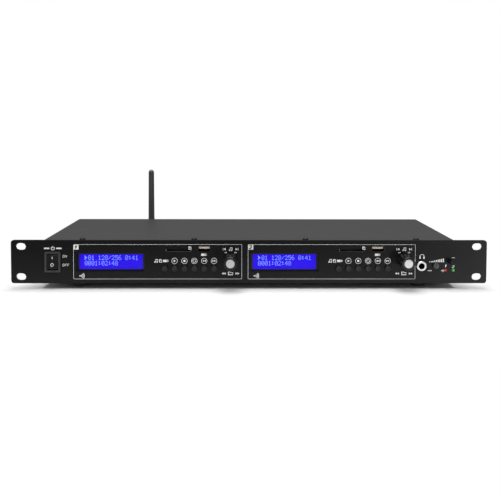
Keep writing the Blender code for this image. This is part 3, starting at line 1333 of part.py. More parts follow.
def output_board(material):
    """The output board with the plugs of both ribbons and its chips."""
    front, back = output_board_span()
    left = OUTPUT_BOARD_LEFT
    low = (left, front, LOW_BOARD)
    made = piece("output_board", [box(low, (left + OUTPUT_BOARD_WIDTH, back, LOW_BOARD_TOP))], material)
    shapes = [box(*output_plug(number)) for number in (1, 2)]
    for share in CHIP_SHARES:
        centre = (
            left + share * OUTPUT_BOARD_WIDTH,
            (front + back) / 2,
            LOW_BOARD_TOP + (CHIP_HEIGHT - SINK) / 2,
        )
        shapes.append(block(centre, (CHIP_SIZE, CHIP_SIZE, CHIP_HEIGHT + SINK)))
    shapes += floor_posts(OUTPUT_BOARD_CENTRE, OUTPUT_BOARD_WIDTH, (front, back), LOW_BOARD)
    join(made, shapes)


def cables(cord_material, coax_material):
    """The mains cable, the switch cable and the antenna's coaxial cable, each along its route."""
    switch_plug, mains_plug = power_plugs()
    start = (INLET_X, inlet_terminal_end() - GAP, PANEL_MIDDLE + INLET_MOUTH_RISE)
    marks = plug_route(start, -1, mains_plug)
    cable("mains_cable", marks, CORD_RADIUS, cord_material)
    start_y = FRONT + SWITCH_BODY_DEPTH + TERMINAL_LENGTH + GAP
    start = (SWITCH_X, start_y, PANEL_MIDDLE - SWITCH_BODY_HEIGHT / 4)
    cable("switch_cable", plug_route(start, 1, switch_plug), CORD_RADIUS, cord_material)
    x, z = antenna_centre()
    tail = REAR - SHEET - GAP - SOCKET_NUT - SOCKET_TAIL - GAP
    high = edge(COAX_HEIGHT_ABOVE_EDGE)
    power_front, power_back = power_board_span()
    marks = [
        (x, tail, z),
        (x, tail - CORD_STRAIGHT / 2, z),
        (x, power_back, high),
        (x, power_front, high),
        (x, BOARD_BACK + CORD_STRAIGHT, z),
        (x, BOARD_BACK + GAP, z),
    ]
    cable("antenna_coax", marks, COAX_RADIUS, coax_material)


def plug_route(start, way, plug):
    """Marks of a cord that leaves its terminal along Y and enters a plug's left side along X."""
    low, high = plug
    end = (low[0] - GAP, (low[1] + high[1]) / 2, low[2] + POWER_PLUG_HEIGHT / 2)
    first = (start[0], start[1] + way * CORD_STRAIGHT, start[2])
    last = (end[0] - CORD_STRAIGHT, end[1], end[2])
    middle = tuple((a + b) / 2 for a, b in zip(first, last))
    return [start, first, middle, last, end]


def main():
    for old in list(bpy.data.objects):
        bpy.data.objects.remove(old, do_unlink=True)
    black_paint = finish("black_paint", (0.018, 0.018, 0.019), 0.45, 0.2)
    grey_paint = finish("grey_paint", (0.085, 0.085, 0.085), 0.5, 0.2)
    steel = finish("zinc_steel", (0.42, 0.43, 0.44), 0.4, 1.0)
    dark_steel = finish("dark_steel", (0.03, 0.03, 0.03), 0.4, 0.8)
    rubber = finish("rubber", (0.012, 0.012, 0.012), 0.8)
    black_plastic = finish("black_plastic", (0.016, 0.016, 0.017), 0.4)
    grey_plastic = finish("grey_plastic", (0.035, 0.035, 0.037), 0.45)
    knob_plastic = finish("knob_plastic", (0.02, 0.02, 0.02), 0.4)
    circuit = finish("circuit_board", (0.02, 0.11, 0.05), 0.5)
    blue_glass = finish("blue_glass", (0.02, 0.01, 0.9), 0.15)
    chrome = finish("chrome", (0.75, 0.75, 0.76), 0.15, 1.0)
    ferrite = finish("ferrite", (0.09, 0.08, 0.03), 0.5)
    cord = finish("cord", (0.02, 0.02, 0.02), 0.55)
    grey_ribbon = finish("grey_ribbon", (0.35, 0.36, 0.38), 0.6)
    gold = finish("gold", (0.75, 0.52, 0.2), 0.3, 1.0)
    red_lens = finish("red_lens", (0.6, 0.02, 0.02), 0.2)
    green_lens = finish("green_lens", (0.05, 0.5, 0.08), 0.2)

    front_panel(black_paint)
    chassis_base(grey_paint)
    top_cover(grey_paint)
    cover_screws(dark_steel)
    feet(rubber)
    power_switch(black_plastic, black_plastic)
    for number, deck in enumerate(DECKS, 1):
        player_board(number, deck, circuit)
        display(number, deck, dark_steel, blue_glass)
        card_socket(number, deck, steel)
        usb_socket(number, deck, chrome)
        deck_buttons(number, deck, grey_plastic)
        encoder_rotor(number, deck, grey_plastic)
        deck_knob(number, deck, knob_plastic)
        ribbon(number, grey_ribbon)
    headphone_board(circuit)
    headphone_jack(chrome)
    volume_knob(grey_plastic)
    source_button(grey_plastic)
    lamps((red_lens, green_lens))
    mains_inlet(black_plastic)
    fuse_drawer(black_plastic)
    rca_block(gold)
    antenna_socket(gold)
    antenna(rubber)
    power_board(circuit)
    power_transformer(ferrite)
    output_board(circuit)
    cables(cord, cord)


main()
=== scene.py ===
# %% [markdown]
# # A rack media player, dressed for its photograph
#
# The solids of this player already exist: panel, case, sockets, boards and everything that moves.
# This lesson gives them their looks. Flat parts keep their solid and get a finish made of shader
# nodes. Round parts, printed marks and the displays' dots are new surfaces, worked out with numpy
# in millimetres.

import bmesh
import bpy
import numpy as np
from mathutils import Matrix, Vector


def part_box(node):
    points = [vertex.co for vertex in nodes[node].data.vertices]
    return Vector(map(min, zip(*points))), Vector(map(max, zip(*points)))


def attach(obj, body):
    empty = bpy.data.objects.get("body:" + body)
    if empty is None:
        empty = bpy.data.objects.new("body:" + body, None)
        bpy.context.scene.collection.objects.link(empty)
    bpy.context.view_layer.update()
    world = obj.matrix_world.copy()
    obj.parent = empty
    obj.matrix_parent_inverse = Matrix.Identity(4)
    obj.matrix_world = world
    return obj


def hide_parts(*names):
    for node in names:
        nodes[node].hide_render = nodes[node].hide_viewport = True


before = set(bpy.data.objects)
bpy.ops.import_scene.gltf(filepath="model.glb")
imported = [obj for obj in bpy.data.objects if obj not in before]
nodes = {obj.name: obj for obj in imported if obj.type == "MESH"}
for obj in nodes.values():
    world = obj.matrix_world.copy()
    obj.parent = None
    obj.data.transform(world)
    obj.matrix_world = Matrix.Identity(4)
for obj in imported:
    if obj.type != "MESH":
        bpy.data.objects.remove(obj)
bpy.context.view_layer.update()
MM = 0.001


def corners(name):
    """A solid's low and high corner, in millimetres."""
    return [np.array(corner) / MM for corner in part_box(name)]


def centre_of(name, axes="XZ"):
    """The middle of a solid's box along two axes, in millimetres."""
    low, high = corners(name)
    return tuple((low[i] + high[i]) / 2 for i in map("XYZ".index, axes))


FACE, PANEL_BOTTOM = corners("front_panel")[0][1:]
REAR = corners("chassis_base")[1][1]
print("panel face and rear wall at y =", round(FACE, 2), round(REAR, 2), "mm")

# %% [markdown]
# ## Camera
#
# The place and the lens come from the panel's corners, the lid's rear corners and the antenna's
# tip in the photograph. The camera looks nearly level and the picture's window is shifted down
# instead, which keeps the panel's upright edges parallel, as they are there.

# %% Camera
CAMERA_PLACE = (-10.33, -797.11, 167.79)
PITCH, YAW, ROLL = 0.05128, 0.01399, -0.00298
WINDOW_SHIFT = -0.18
PICTURE_WIDTH, SENSOR_WIDTH, FOCAL_PIXELS = 500, 36.0, 710.94

lens = bpy.data.cameras.new("camera")
lens.sensor_width = SENSOR_WIDTH
lens.lens = FOCAL_PIXELS / PICTURE_WIDTH * SENSOR_WIDTH
lens.shift_y = WINDOW_SHIFT
camera = bpy.data.objects.new("camera", lens)
camera.location = [value * MM for value in CAMERA_PLACE]
camera.rotation_euler = (np.pi / 2 - PITCH, ROLL, -YAW)
bpy.context.scene.collection.objects.link(camera)
bpy.context.scene.camera = camera
print("lens of", round(lens.lens, 1), "mm, tilted", round(np.degrees(PITCH), 1), "degrees down")

# %% [markdown]
# ## Shader nodes
#
# A finish is a small sum worked out at every point of a surface. These helpers write each step
# of such a sum in one line.


# %% Shader nodes
def node(tree, kind, **values):
    """One shader node. Each value goes to the node's property of that name, or to its socket."""
    made = tree.nodes.new("ShaderNode" + kind)
    for key, value in values.items():
        if hasattr(made, key):
            setattr(made, key, value)
        else:
            made.inputs[key.replace("_", " ")].default_value = value
    return made


def feed(tree, socket, value):
    """Links another node's socket to this one, or sets this one to a plain value."""
    if hasattr(value, "links"):
        tree.links.new(value, socket)
    else:
        socket.default_value = value


def reckon(tree, operation, *values):
    """The result of a Math node's operation on plain values or sockets."""
    made = node(tree, "Math", operation=operation)
    for socket, value in zip(made.inputs, values):
        feed(tree, socket, value)
    return made.outputs[0]


def stretch(tree, value, low, high, to_low=0.0, to_high=1.0, way="LINEAR"):
    """Maps the span low to high onto another, clamped at both ends, which may be sockets too."""
    made = node(tree, "MapRange", interpolation_type=way, From_Min=low, From_Max=high)
    for key, given in (("Value", value), ("To Min", to_low), ("To Max", to_high)):
        feed(tree, made.inputs[key], given)
    return made.outputs["Result"]


def ease(tree, value, low, high, to_low=0.0, to_high=1.0):
    """As stretch, but with a soft start and a soft end."""
    return stretch(tree, value, low, high, to_low, to_high, "SMOOTHSTEP")


def own_place(tree):
    """The socket of a point's place in its own object, in metres."""
    return node(tree, "TexCoord").outputs["Object"]


def place_of(tree, axis):
    """The socket of one coordinate of a point's own place: X, Y or Z."""
    split = node(tree, "SeparateXYZ")
    tree.links.new(own_place(tree), split.inputs[0])
    return split.outputs[axis]


def distance(tree, scale=(1.0, 1.0, 1.0), shift=(0.0, 0.0, 0.0)):
    """The length of a point's place, each axis multiplied by its scale and moved by its shift."""
    moved = node(tree, "Mapping", vector_type="POINT", Scale=scale, Location=shift)
    tree.links.new(own_place(tree), moved.inputs["Vector"])
    length = node(tree, "VectorMath", operation="LENGTH")
    tree.links.new(moved.outputs["Vector"], length.inputs[0])
    return length.outputs["Value"]


def new_finish(name, roughness, metallic=0.0, specular=0.5):
    """A material with its shader's plain values set; returns it, its tree and its shader."""
    made = bpy.data.materials.new(name)
    made.use_nodes = True
    shader = made.node_tree.nodes["Principled BSDF"]
    shader.inputs["Roughness"].default_value = roughness
    shader.inputs["Metallic"].default_value = metallic
    shader.inputs["Specular IOR Level"].default_value = specular
    return made, made.node_tree, shader


print("shader helpers ready")

# %% [markdown]
# ## Studio
#
# The photograph is a cut-out: pure white all round, and only a thin soft shadow under the case.
# So the camera sees a white world, while the player is lit by a dim studio: dimmest behind, where
# the lid mirrors it, and in front brighter on the left than on the right. A small lamp lifts the
# right end. It stands lower than the floor and shines through it: the paper casts no shadow.
#
# The floor is paper. Near the player a soft lamp overhead makes it white, and the case shades it,
# as it really would. Further off the paper melts into the white. For all rays but the camera's, the
# paper carries a painted pool of light, pale close by and dark further off; the panel mirrors it,
# and so it looks paler towards its lower edge.

# %% Studio
FRONT_LEFT, FRONT_RIGHT, BEHIND = 0.53, 0.34, 0.235
WHITE = (1.0, 1.0, 1.0, 1.0)
LENGTHWISE = (0.25, 1.0, 1.0)
# the painted pool of light on the paper: where it starts and ends fading, its pale and dark tones
PAINTED_POOL_NEAR, PAINTED_POOL_FAR, PALE, DARK = 0.10, 0.34, 0.75, 0.03
PAPER_NEAR, PAPER_FAR, PAPER_TONE = 0.19, 0.45, 0.72
FLOOR_REACH = 4

world = bpy.data.worlds.new("studio")
bpy.context.scene.world = world
world.use_nodes = True
tree = world.node_tree
ground = tree.nodes["Background"]
aim = node(tree, "SeparateXYZ")
tree.links.new(node(tree, "TexCoord").outputs["Generated"], aim.inputs[0])
front = ease(tree, aim.outputs["X"], -0.7, 0.9, FRONT_LEFT, FRONT_RIGHT)
studio = ease(tree, aim.outputs["Y"], -0.2, 0.3, front, BEHIND)
seen = node(tree, "LightPath").outputs["Is Camera Ray"]
tree.links.new(ease(tree, seen, 0.0, 1.0, studio, 1.0), ground.inputs["Strength"])
ground.inputs["Color"].default_value = WHITE

paper, tree, shader = new_finish("paper", 0.9, specular=0.1)
shader.inputs["Emission Color"].default_value = WHITE
seen = node(tree, "LightPath").outputs["Is Camera Ray"]
# painted pool of light: for all rays but the camera's the paper is pale near the player, dark far
# off
painted_light_pool = ease(tree, distance(tree, LENGTHWISE), PAINTED_POOL_NEAR, PAINTED_POOL_FAR, PALE, DARK)
away = distance(tree)
shown = ease(tree, away, PAPER_NEAR, PAPER_FAR, PAPER_TONE, 0.0)
tree.links.new(ease(tree, seen, 0.0, 1.0, painted_light_pool, shown), shader.inputs["Base Color"])
glow = reckon(tree, "MULTIPLY", ease(tree, away, PAPER_NEAR, PAPER_FAR), seen)
tree.links.new(glow, shader.inputs["Emission Strength"])

mesh = bpy.data.meshes.new("studio_floor")
square = [(-1, -1), (1, -1), (1, 1), (-1, 1)]
mesh.from_pydata([(x * FLOOR_REACH, y * FLOOR_REACH, 0) for x, y in square], [], [(0, 1, 2, 3)])
mesh.materials.append(paper)
floor = bpy.data.objects.new("studio_floor", mesh)
floor.visible_shadow = False
bpy.context.scene.collection.objects.link(floor)


def lamp(name, place, target, size, power):
    """A square area light at a place, aimed at a target, all in metres."""
    light = bpy.data.lights.new(name, "AREA")
    light.size = size
    light.energy = power
    made = bpy.data.objects.new(name, light)
    made.location = place
    aim = Vector(target) - Vector(place)
    made.rotation_euler = aim.to_track_quat("-Z", "Y").to_euler()
    bpy.context.scene.collection.objects.link(made)


lamp("key_light", (1.50, -2.90, -0.48), target=(0.10, -0.08, 0.03), size=0.5, power=9.5)
lamp("top_light", (0.0, -0.06, 1.4), target=(0.0, 0.0, 0.0), size=1.2, power=29.5)
bpy.context.scene.view_settings.view_transform = "Standard"

# %% [markdown]
# ## Finishes
#
# Paint, plastic and rubber look real when they aren't one flat colour. One recipe serves them
# all. A fine noise, in object coordinates so that it stays put, mixes two tones and lifts a bump,
# and a coarse noise drifts the roughness. Each finish only picks its own numbers.


# %% The recipe
def grey(tone, blue=None):
    """A grey of that tone, or one with its own blue."""
    return (tone, tone, tone if blue is None else blue)


def scaled(tone, share):
    """A tone made darker or lighter by a share."""
    return [value * share for value in tone]


def noise(tree, grain, detail=2.0):
    """Noise whose lumps are about grain millimetres wide; returns its factor socket."""
    made = node(tree, "TexNoise", Scale=1.0 / (grain * MM), Detail=detail)
    tree.links.new(own_place(tree), made.inputs["Vector"])
    return made.outputs["Fac"]


def blend_tones(tree, factor, first, second):
    """A colour that runs from the first tone to the second as the factor goes from 0 to 1."""
    mixer = node(tree, "Mix", data_type="RGBA")
    tree.links.new(factor, mixer.inputs[0])
    for socket, tone in ((mixer.inputs[6], first), (mixer.inputs[7], second)):
        feed(tree, socket, tone if hasattr(tone, "links") else (*tone, 1.0))
    return mixer.outputs[2]


def coat(made, shader, colour, height, depth):
    """Gives a finish its colour and lets a height socket lift the surface by depth millimetres."""
    tree = made.node_tree
    bump = node(tree, "Bump", Strength=1.0, Distance=depth * MM)
    tree.links.new(colour, shader.inputs["Base Color"])
    tree.links.new(height, bump.inputs["Height"])
    tree.links.new(bump.outputs["Normal"], shader.inputs["Normal"])
    return made


def shine(tree, shader, colour, power):
    """Lets a surface give off its own light in a colour."""
    tree.links.new(colour, shader.inputs["Emission Color"])
    shader.inputs["Emission Strength"].default_value = power


def grained(name, tone, second, roughness, grain, depth, metallic=0.0, specular=0.5, drift=0.08):
    """Two tones mixed by a fine noise, its grain in millimetres, that also lifts a bump of that
    depth, over a slow drift of roughness."""
    made, tree, shader = new_finish(name, roughness, metallic, specular)
    fine = noise(tree, grain, 3.0)
    colour = blend_tones(tree, stretch(tree, fine, 0.35, 0.65), tone, second)
    slow = stretch(tree, noise(tree, grain * 60), 0.3, 0.7, roughness - drift, roughness + drift)
    tree.links.new(slow, shader.inputs["Roughness"])
    return coat(made, shader, colour, fine, depth)


def dress(material, *names):
    """Puts a material in each named solid's own slot."""
    for name in names:
        nodes[name].data.materials.clear()
        nodes[name].data.materials.append(material)


# Each finish: its name, two tones, roughness, grain and depth of bump, then what is unusual.
panel_paint = grained("panel_paint", grey(0.0050, 0.0052), grey(0.0072, 0.0074), 0.34, 0.35, 0.015,
                      specular=0.17, drift=0.02)
lid_paint = grained("lid_paint", grey(0.020), grey(0.026), 0.50, 0.40, 0.02, drift=0.015)
satin_black = grained("satin_black", grey(0.004, 0.0045), grey(0.006, 0.0065), 0.38, 0.25, 0.008,
                      specular=0.22)
button_grey = grained("button_grey", grey(0.014, 0.0145), grey(0.019, 0.020), 0.42, 0.2, 0.008,
                      specular=0.28)
knob_black = grained("knob_black", grey(0.004), grey(0.006), 0.28, 0.3, 0.01, specular=0.45)
soft_rubber = grained("soft_rubber", grey(0.010), grey(0.018), 0.78, 0.5, 0.03)
zinc = grained("zinc", (0.42, 0.43, 0.44), (0.52, 0.53, 0.53), 0.36, 1.8, 0.01, metallic=1.0)
dark_steel = grained("dark_steel", grey(0.020, 0.021), grey(0.034, 0.036), 0.35, 0.5, 0.01,
                     metallic=0.6)
print(len(bpy.data.materials), "finishes so far")

# %% [markdown]
# ## Shapes from numbers
#
# Three small makers cover most new pieces. A turned piece is a profile carried round an axis,
# as on a lathe. A stack is a row of outlines joined by walls, and a plate, cut from sheet, is a
# stack of two. A stroke is a pen's width carried along a path, as printed ink is.


# %% Makers
def grid_faces(rows, columns, closed):
    """Four-cornered faces between the rows and columns of a grid; closed joins the last column
    to the first."""
    steps = np.arange(columns if closed else columns - 1)
    row, left = np.meshgrid(np.arange(rows - 1), steps, indexing="ij")
    right = (left + 1) % columns
    here, above = row * columns, (row + 1) * columns
    quads = [here + left, here + right, above + right, above + left]
    return np.stack(quads, -1).reshape(-1, 4)


def turned(profile, centre, count, axis="Y"):
    """Points (r cos t, h, r sin t): each profile pair (radius r, place h along the axis) goes
    round the axis in count steps of the angle t. Ends at radius 0 close the piece."""
    profile = np.asarray(profile, float)
    t = np.arange(count) * 2 * np.pi / count
    radius, along = profile[:, :1], np.repeat(profile[:, 1:], count, axis=1)
    first, second = radius * np.cos(t) + centre[0], radius * np.sin(t) + centre[1]
    order = {"Y": (first, along, second), "Z": (first, second, along)}
    return np.stack(order[axis], -1).reshape(-1, 3), grid_faces(len(profile), count, True)


def stacked(sections, axis="Y"):
    """Outlines of equal count, each at its own height along an axis, joined by walls, with both
    ends shut."""
    count = len(sections[0][0])
    rows = []
    for outline, height in sections:
        flat = np.asarray(outline, float)
        column = np.full((count, 1), height)
        order = {"Y": (flat[:, :1], column, flat[:, 1:]), "X": (column, flat)}
        rows.append(np.concatenate(order[axis], 1))
    walls = grid_faces(len(sections), count, True)
    last = (len(sections) - 1) * count
    ends = [list(range(count)), list(range(last, last + count))]
    return np.concatenate(rows), [list(face) for face in walls] + ends


def plate(outline, low, high, axis="Y"):
    """An outline of pairs at two heights along an axis, with walls between and both ends shut."""
    return stacked([(outline, low), (outline, high)], axis)


def stroke(path, width, low, high, closed=False):
    """A rectangle carried along a path of pairs: at each point the side steps are half the width
    along the normal of the neighbours' chord, wider at bends, at low and high along Y."""
    path = np.asarray(path, float)
    before, after = np.roll(path, 1, 0), np.roll(path, -1, 0)
    if not closed:
        before[0], after[-1] = path[0], path[-1]
    chord = after - before
    chord /= np.linalg.norm(chord, axis=1, keepdims=True)
    leave = path - before
    lengths = np.linalg.norm(leave, axis=1, keepdims=True)
    leave = np.where(lengths > 0, leave / np.maximum(lengths, 1e-9), chord)
    side = np.stack([-chord[:, 1], chord[:, 0]], 1)
    mitre = np.maximum((chord * leave).sum(1, keepdims=True), 0.5)
    step = side * width / 2 / mitre
    left, right = path + step, path - step
    rails = [(left, low), (left, high), (right, high), (right, low)]
    points = np.stack([np.insert(side, 1, y, axis=1) for side, y in rails], 1)
    faces = grid_faces(len(path), 4, True)
    first, last = np.arange(4), (len(path) - 1) * 4 + np.arange(4)
    if closed:
        turn = np.roll(first, -1)
        ends = np.stack([last, last[turn], turn, first], -1)
    else:
        ends = [first, last]
    return points.reshape(-1, 3), [list(face) for face in (*faces, *ends)]


def round_path(centre, radius, start=0.0, end=360.0, count=32):
    """Pairs on a circle's arc, centre plus radius times (cos t, sin t); a whole circle leaves its
    last point out."""
    whole = end - start >= 360.0
    t = np.radians(np.linspace(start, end, count, endpoint=not whole))
    return np.stack([centre[0] + radius * np.cos(t), centre[1] + radius * np.sin(t)], 1)


def rectangle(low, high):
    """Outline of a rectangle between two corners, from the low one round by the right."""
    return [low, (high[0], low[1]), high, (low[0], high[1])]


def soft_box(low, high, corner):
    """Outline of a rectangle between two corners, each corner a quarter circle of six points."""
    spots = [(high[0] - corner, high[1] - corner, 0), (low[0] + corner, high[1] - corner, 90)]
    spots += [(low[0] + corner, low[1] + corner, 180), (high[0] - corner, low[1] + corner, 270)]
    return np.concatenate([round_path((x, z), corner, turn, turn + 90, 6) for x, z, turn in spots])


def quarter(radius, height, edge, count=6):
    """Profile pairs of a quarter round from the flat front to the wall, of radius edge."""
    t = np.linspace(0, np.pi / 2, count)
    return list(zip(radius - edge + edge * np.sin(t), height + edge * (1 - np.cos(t))))


def build(name, shapes, material, body, replaces=(), sharp=35.0):
    """Stacks shapes into one mesh in metres, merges poles, turns faces out and puts it to ride."""
    points, faces, start = [], [], 0
    for shape_points, shape_faces in shapes:
        points.append(shape_points)
        faces += [[int(i) + start for i in face] for face in shape_faces]
        start += len(shape_points)
    mesh = bpy.data.meshes.new(name)
    mesh.from_pydata((np.concatenate(points) * MM).tolist(), [], faces)
    form = bmesh.new()
    form.from_mesh(mesh)
    bmesh.ops.remove_doubles(form, verts=form.verts, dist=1e-7)
    bmesh.ops.recalc_face_normals(form, faces=form.faces)
    form.to_mesh(mesh)
    form.free()
    mesh.shade_smooth()
    mesh.set_sharp_from_angle(angle=np.radians(sharp))
    mesh.materials.append(material)
    made = bpy.data.objects.new(name, mesh)
    bpy.context.scene.collection.objects.link(made)
    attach(made, body)
    if replaces:
        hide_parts(*replaces)


print("makers ready: turned, stacked, plate, stroke")

# %% [markdown]
# ## Printed marks
#
# White ink is printed over the paint: a thin frame round each deck, a square tag with the deck's
# number, a ring with a sign over five of the six buttons. The ink stands a few hundredths of a
# millimetre proud, so it needs no picture. All signs are general ones: arrows, bars, a note, a
# folder, a card, numbers. Heights count from the panel's lower edge, places along it from its
# middle or a deck's.

# %% Ink
INK_LOW, INK_HIGH = FACE + 0.02, FACE - 0.04
TAG_HIGH = FACE - 0.06
THIN, MEDIUM, WIDE = 0.45, 0.5, 0.62
DECKS = {1: -93.3, 2: 83.2}


def above_edge(height):
    """The place of a height above the panel's lower edge."""
    return PANEL_BOTTOM + height


def ink(path, width=MEDIUM, closed=False):
    """A printed stroke on the panel."""
    return stroke(path, width, INK_HIGH, INK_LOW, closed)


def upright(x, low, high, width=THIN):
    """A printed upright line."""
    return ink([(x, low), (x, high)], width)


def level(z, left, right, width=MEDIUM):
    """A printed level line."""
    return ink([(left, z), (right, z)], width)


def patch(outline):
    """A printed area on the panel."""
    return plate(outline, INK_HIGH, INK_LOW)


def box_patch(x, z, width, height):
    """A printed rectangle centred at x, z."""
    half, rise = width / 2, height / 2
    return patch(rectangle((x - half, z - rise), (x + half, z + rise)))


def arrow(x, z, size, way=1):
    """A filled triangle of that height, pointing right, or left where way is -1."""
    rise, reach = size / 2, way * size / 2 * 0.8
    return patch([(x - reach, z - rise), (x + reach, z), (x - reach, z + rise)])


print("ink", round(INK_LOW - INK_HIGH, 2), "mm thick")


# %% Signs
def repeat_sign(x, z):
    """Two bent strokes, each ending in a small arrow."""
    marks = []
    for turn in (0.0, 180.0):
        marks.append(ink(round_path((x, z), 1.5, turn + 20, turn + 150, 10)))
        tip = round_path((x, z), 1.5, turn + 165, turn + 170, 2)[0]
        marks.append(patch(round_path(tip, 0.75, turn, turn + 360, 3)))
    return marks


# What the rings hold: play, stop, repeat, back and next.
RING_SIGNS = (
    lambda x, z: [arrow(x + 0.2, z, 2.6)],
    lambda x, z: [box_patch(x, z, 2.1, 2.1)],
    repeat_sign,
    lambda x, z: [arrow(x + across, z, 2.2, -1) for across in (-1.0, 0.9)],
    lambda x, z: [arrow(x + across, z, 2.2) for across in (-0.9, 1.0)],
)


def note_sign(x, z):
    """A note: two filled heads, two stems and a beam."""
    foot, top = z - 1.1, z + 1.3
    marks = [patch(round_path((x + across, foot), 0.8, count=12)) for across in (-1.1, 1.1)]
    marks += [upright(x + across, foot, top) for across in (-0.5, 1.7)]
    return marks + [level(top, x - 0.72, x + 1.92, 0.8)]


def card_sign(x, z):
    """A memory card: a rectangle with one cut corner and two contacts."""
    left, right, low, high, cut = x - 1.1, x + 1.1, z - 1.4, z + 1.4, 0.7
    card = [(left, low), (right, low), (right, high - cut), (right - cut, high), (left, high)]
    contacts = [upright(x + across, z + 0.1, z + 0.8, 0.3) for across in (-0.45, 0.05)]
    return [ink(card, 0.55, True)] + contacts


def stick_sign(x, z):
    """A memory stick: its body and its plug."""
    plug = rectangle((x + 0.7, z - 0.7), (x + 2.4, z + 0.7))
    return [box_patch(x - 0.9, z, 3.4, 2.3), ink(plug, 0.55)]


def wave_sign(x, z):
    """Radio waves: a dot and three arcs."""
    source = (x - 1.6, z)
    marks = [patch(round_path(source, 0.7, count=12))]
    return marks + [ink(round_path(source, r, -40, 40, 10), WIDE) for r in (1.7, 3.0, 4.3)]


def folder_sign(x, z):
    """A folder: its outline with a tab."""
    outline = [(-2.2, -1.3), (2.2, -1.3), (2.2, 0.9), (0.1, 0.9), (-0.4, 1.5), (-2.2, 1.5)]
    return [ink([(x + across, z + rise) for across, rise in outline], WIDE, True)]


print(len(RING_SIGNS), "signs for the rings, 5 others")

# %% Marks of a deck
FRAME_HALF, FRAME_LOW, FRAME_HIGH, FRAME_CORNER, FRAME_LINE = 85.05, 4.4, 39.6, 0.8, 0.30
TAG, RING_ROW, RING_RADIUS, RING_LINE = 5.2, 22.9, 2.85, 0.40
BUTTONS_FROM, BUTTON_STEP = 16.95, 10.0
MEDIA_BUTTON, CARD_SLOT, STICK_PORT, WAVES = 4.5, (32.6, 36.0), (46.5, 29.2), (-77.0, 7.6)
KNOB, OVER_KNOB, ARROWS_OVER_KNOB, UNDER_KNOB = 73.7, 34.9, 31.4, 10.0


def deck_marks(centre):
    """The frame and the signs of one deck, whose middle is at x = centre."""
    low, high = above_edge(FRAME_LOW), above_edge(FRAME_HIGH)
    left, right = centre - FRAME_HALF, centre + FRAME_HALF
    marks = [ink(soft_box((left, low), (right, high), FRAME_CORNER), FRAME_LINE, True)]
    marks.append(box_patch(left + TAG / 2, high - TAG / 2, TAG, TAG))
    row = above_edge(RING_ROW)
    for count, sign in enumerate(RING_SIGNS):
        x = centre + BUTTONS_FROM + BUTTON_STEP * count
        marks.append(ink(round_path((x, row), RING_RADIUS), RING_LINE, True))
        marks += sign(x, row)
    x = centre + MEDIA_BUTTON
    marks += note_sign(x - 6.2, row) + card_sign(x - 1.6, row) + stick_sign(x + 3.5, row)
    places = ((card_sign, CARD_SLOT), (stick_sign, STICK_PORT), (wave_sign, WAVES))
    for sign, (across, rise) in places:
        marks += sign(centre + across, above_edge(rise))
    knob = centre + KNOB
    top, middle, bottom = (above_edge(h) for h in (OVER_KNOB, ARROWS_OVER_KNOB, UNDER_KNOB))
    marks += note_sign(knob, top) + folder_sign(knob, bottom)
    for way in (-1, 1):
        marks.append(arrow(knob + way * 6.0, top, 2.6, way))
        marks.append(upright(knob + way * 7.6, top - 1.3, top + 1.3))
        for z, size, places in ((bottom, 2.4, (6.0, 8.0)), (middle, 1.5, (4.4, 5.8))):
            marks += [arrow(knob + way * across, z, size, way) for across in places]
    return marks


print("frames", 2 * FRAME_HALF, "mm wide")

# %% Letters and the other marks
O_LETTER = [[(1, 0), (3, 0), (4, 1.2), (4, 4.8), (3, 6), (1, 6), (0, 4.8), (0, 1.2), (1, 0)]]
N_LETTER = [[(0, 0), (0, 6), (4, 0), (4, 6)]]
F_LETTER = [[(0, 0), (0, 6), (4, 6)], [(0, 3.1), (3.2, 3.1)]]
ONE = [[(0.8, 4.6), (2.4, 6), (2.4, 0)]]
TWO = [[(0.2, 4.6), (1, 6), (3.2, 6), (4, 4.8), (3.8, 3.4), (0.2, 0), (4.2, 0)]]
CELL_HEIGHT, SLANT = 6, 0.15
WORD_HEIGHT, WORD_LINE, DIGIT_HEIGHT = 2.3, 0.36, 2.8
SWITCH_MARK, ON_WORD, OFF_WORD = (-199.1, 35.6), (-189.3, 26.4, 2.5), (-189.5, 17.4, 2.4)
PHONES_SIGN, VOLUME_BARS, MINUS_ROW = (175.15, 27.4), (183.0, 21.6, 1.75), 12.9


def slanted(line, x, z, scale):
    """One line of a letter, drawn on a cell 4 wide and 6 high, scaled, leaned and put in place."""
    return [(x + (across + SLANT * up) * scale, z + up * scale) for across, up in line]


def letter(strokes, x, z, height, weight):
    """Printed strokes of a letter or number whose lower left corner is at x, z."""
    return [ink(slanted(line, x, z, height / CELL_HEIGHT), weight) for line in strokes]


def switch_marks():
    """Round the power switch: its sign between two bars above, ON and OFF beside it."""
    x, top = SWITCH_MARK[0], above_edge(SWITCH_MARK[1])
    marks = [ink(round_path((x, top), 1.6, 125, 415, 24), 0.8)]
    marks.append(upright(x, top + 0.3, top + 2.2, 0.8))
    marks += [level(top, x + side * 3.4, x + side * 8.8, 1.5) for side in (-1, 1)]
    words = ((ON_WORD, (O_LETTER, N_LETTER)), (OFF_WORD, (O_LETTER, F_LETTER, F_LETTER)))
    for (left, height, step), letters in words:
        for count, shape in enumerate(letters):
            spot = left + step * count, above_edge(height)
            marks += letter(shape, *spot, WORD_HEIGHT, WORD_LINE)
    return marks


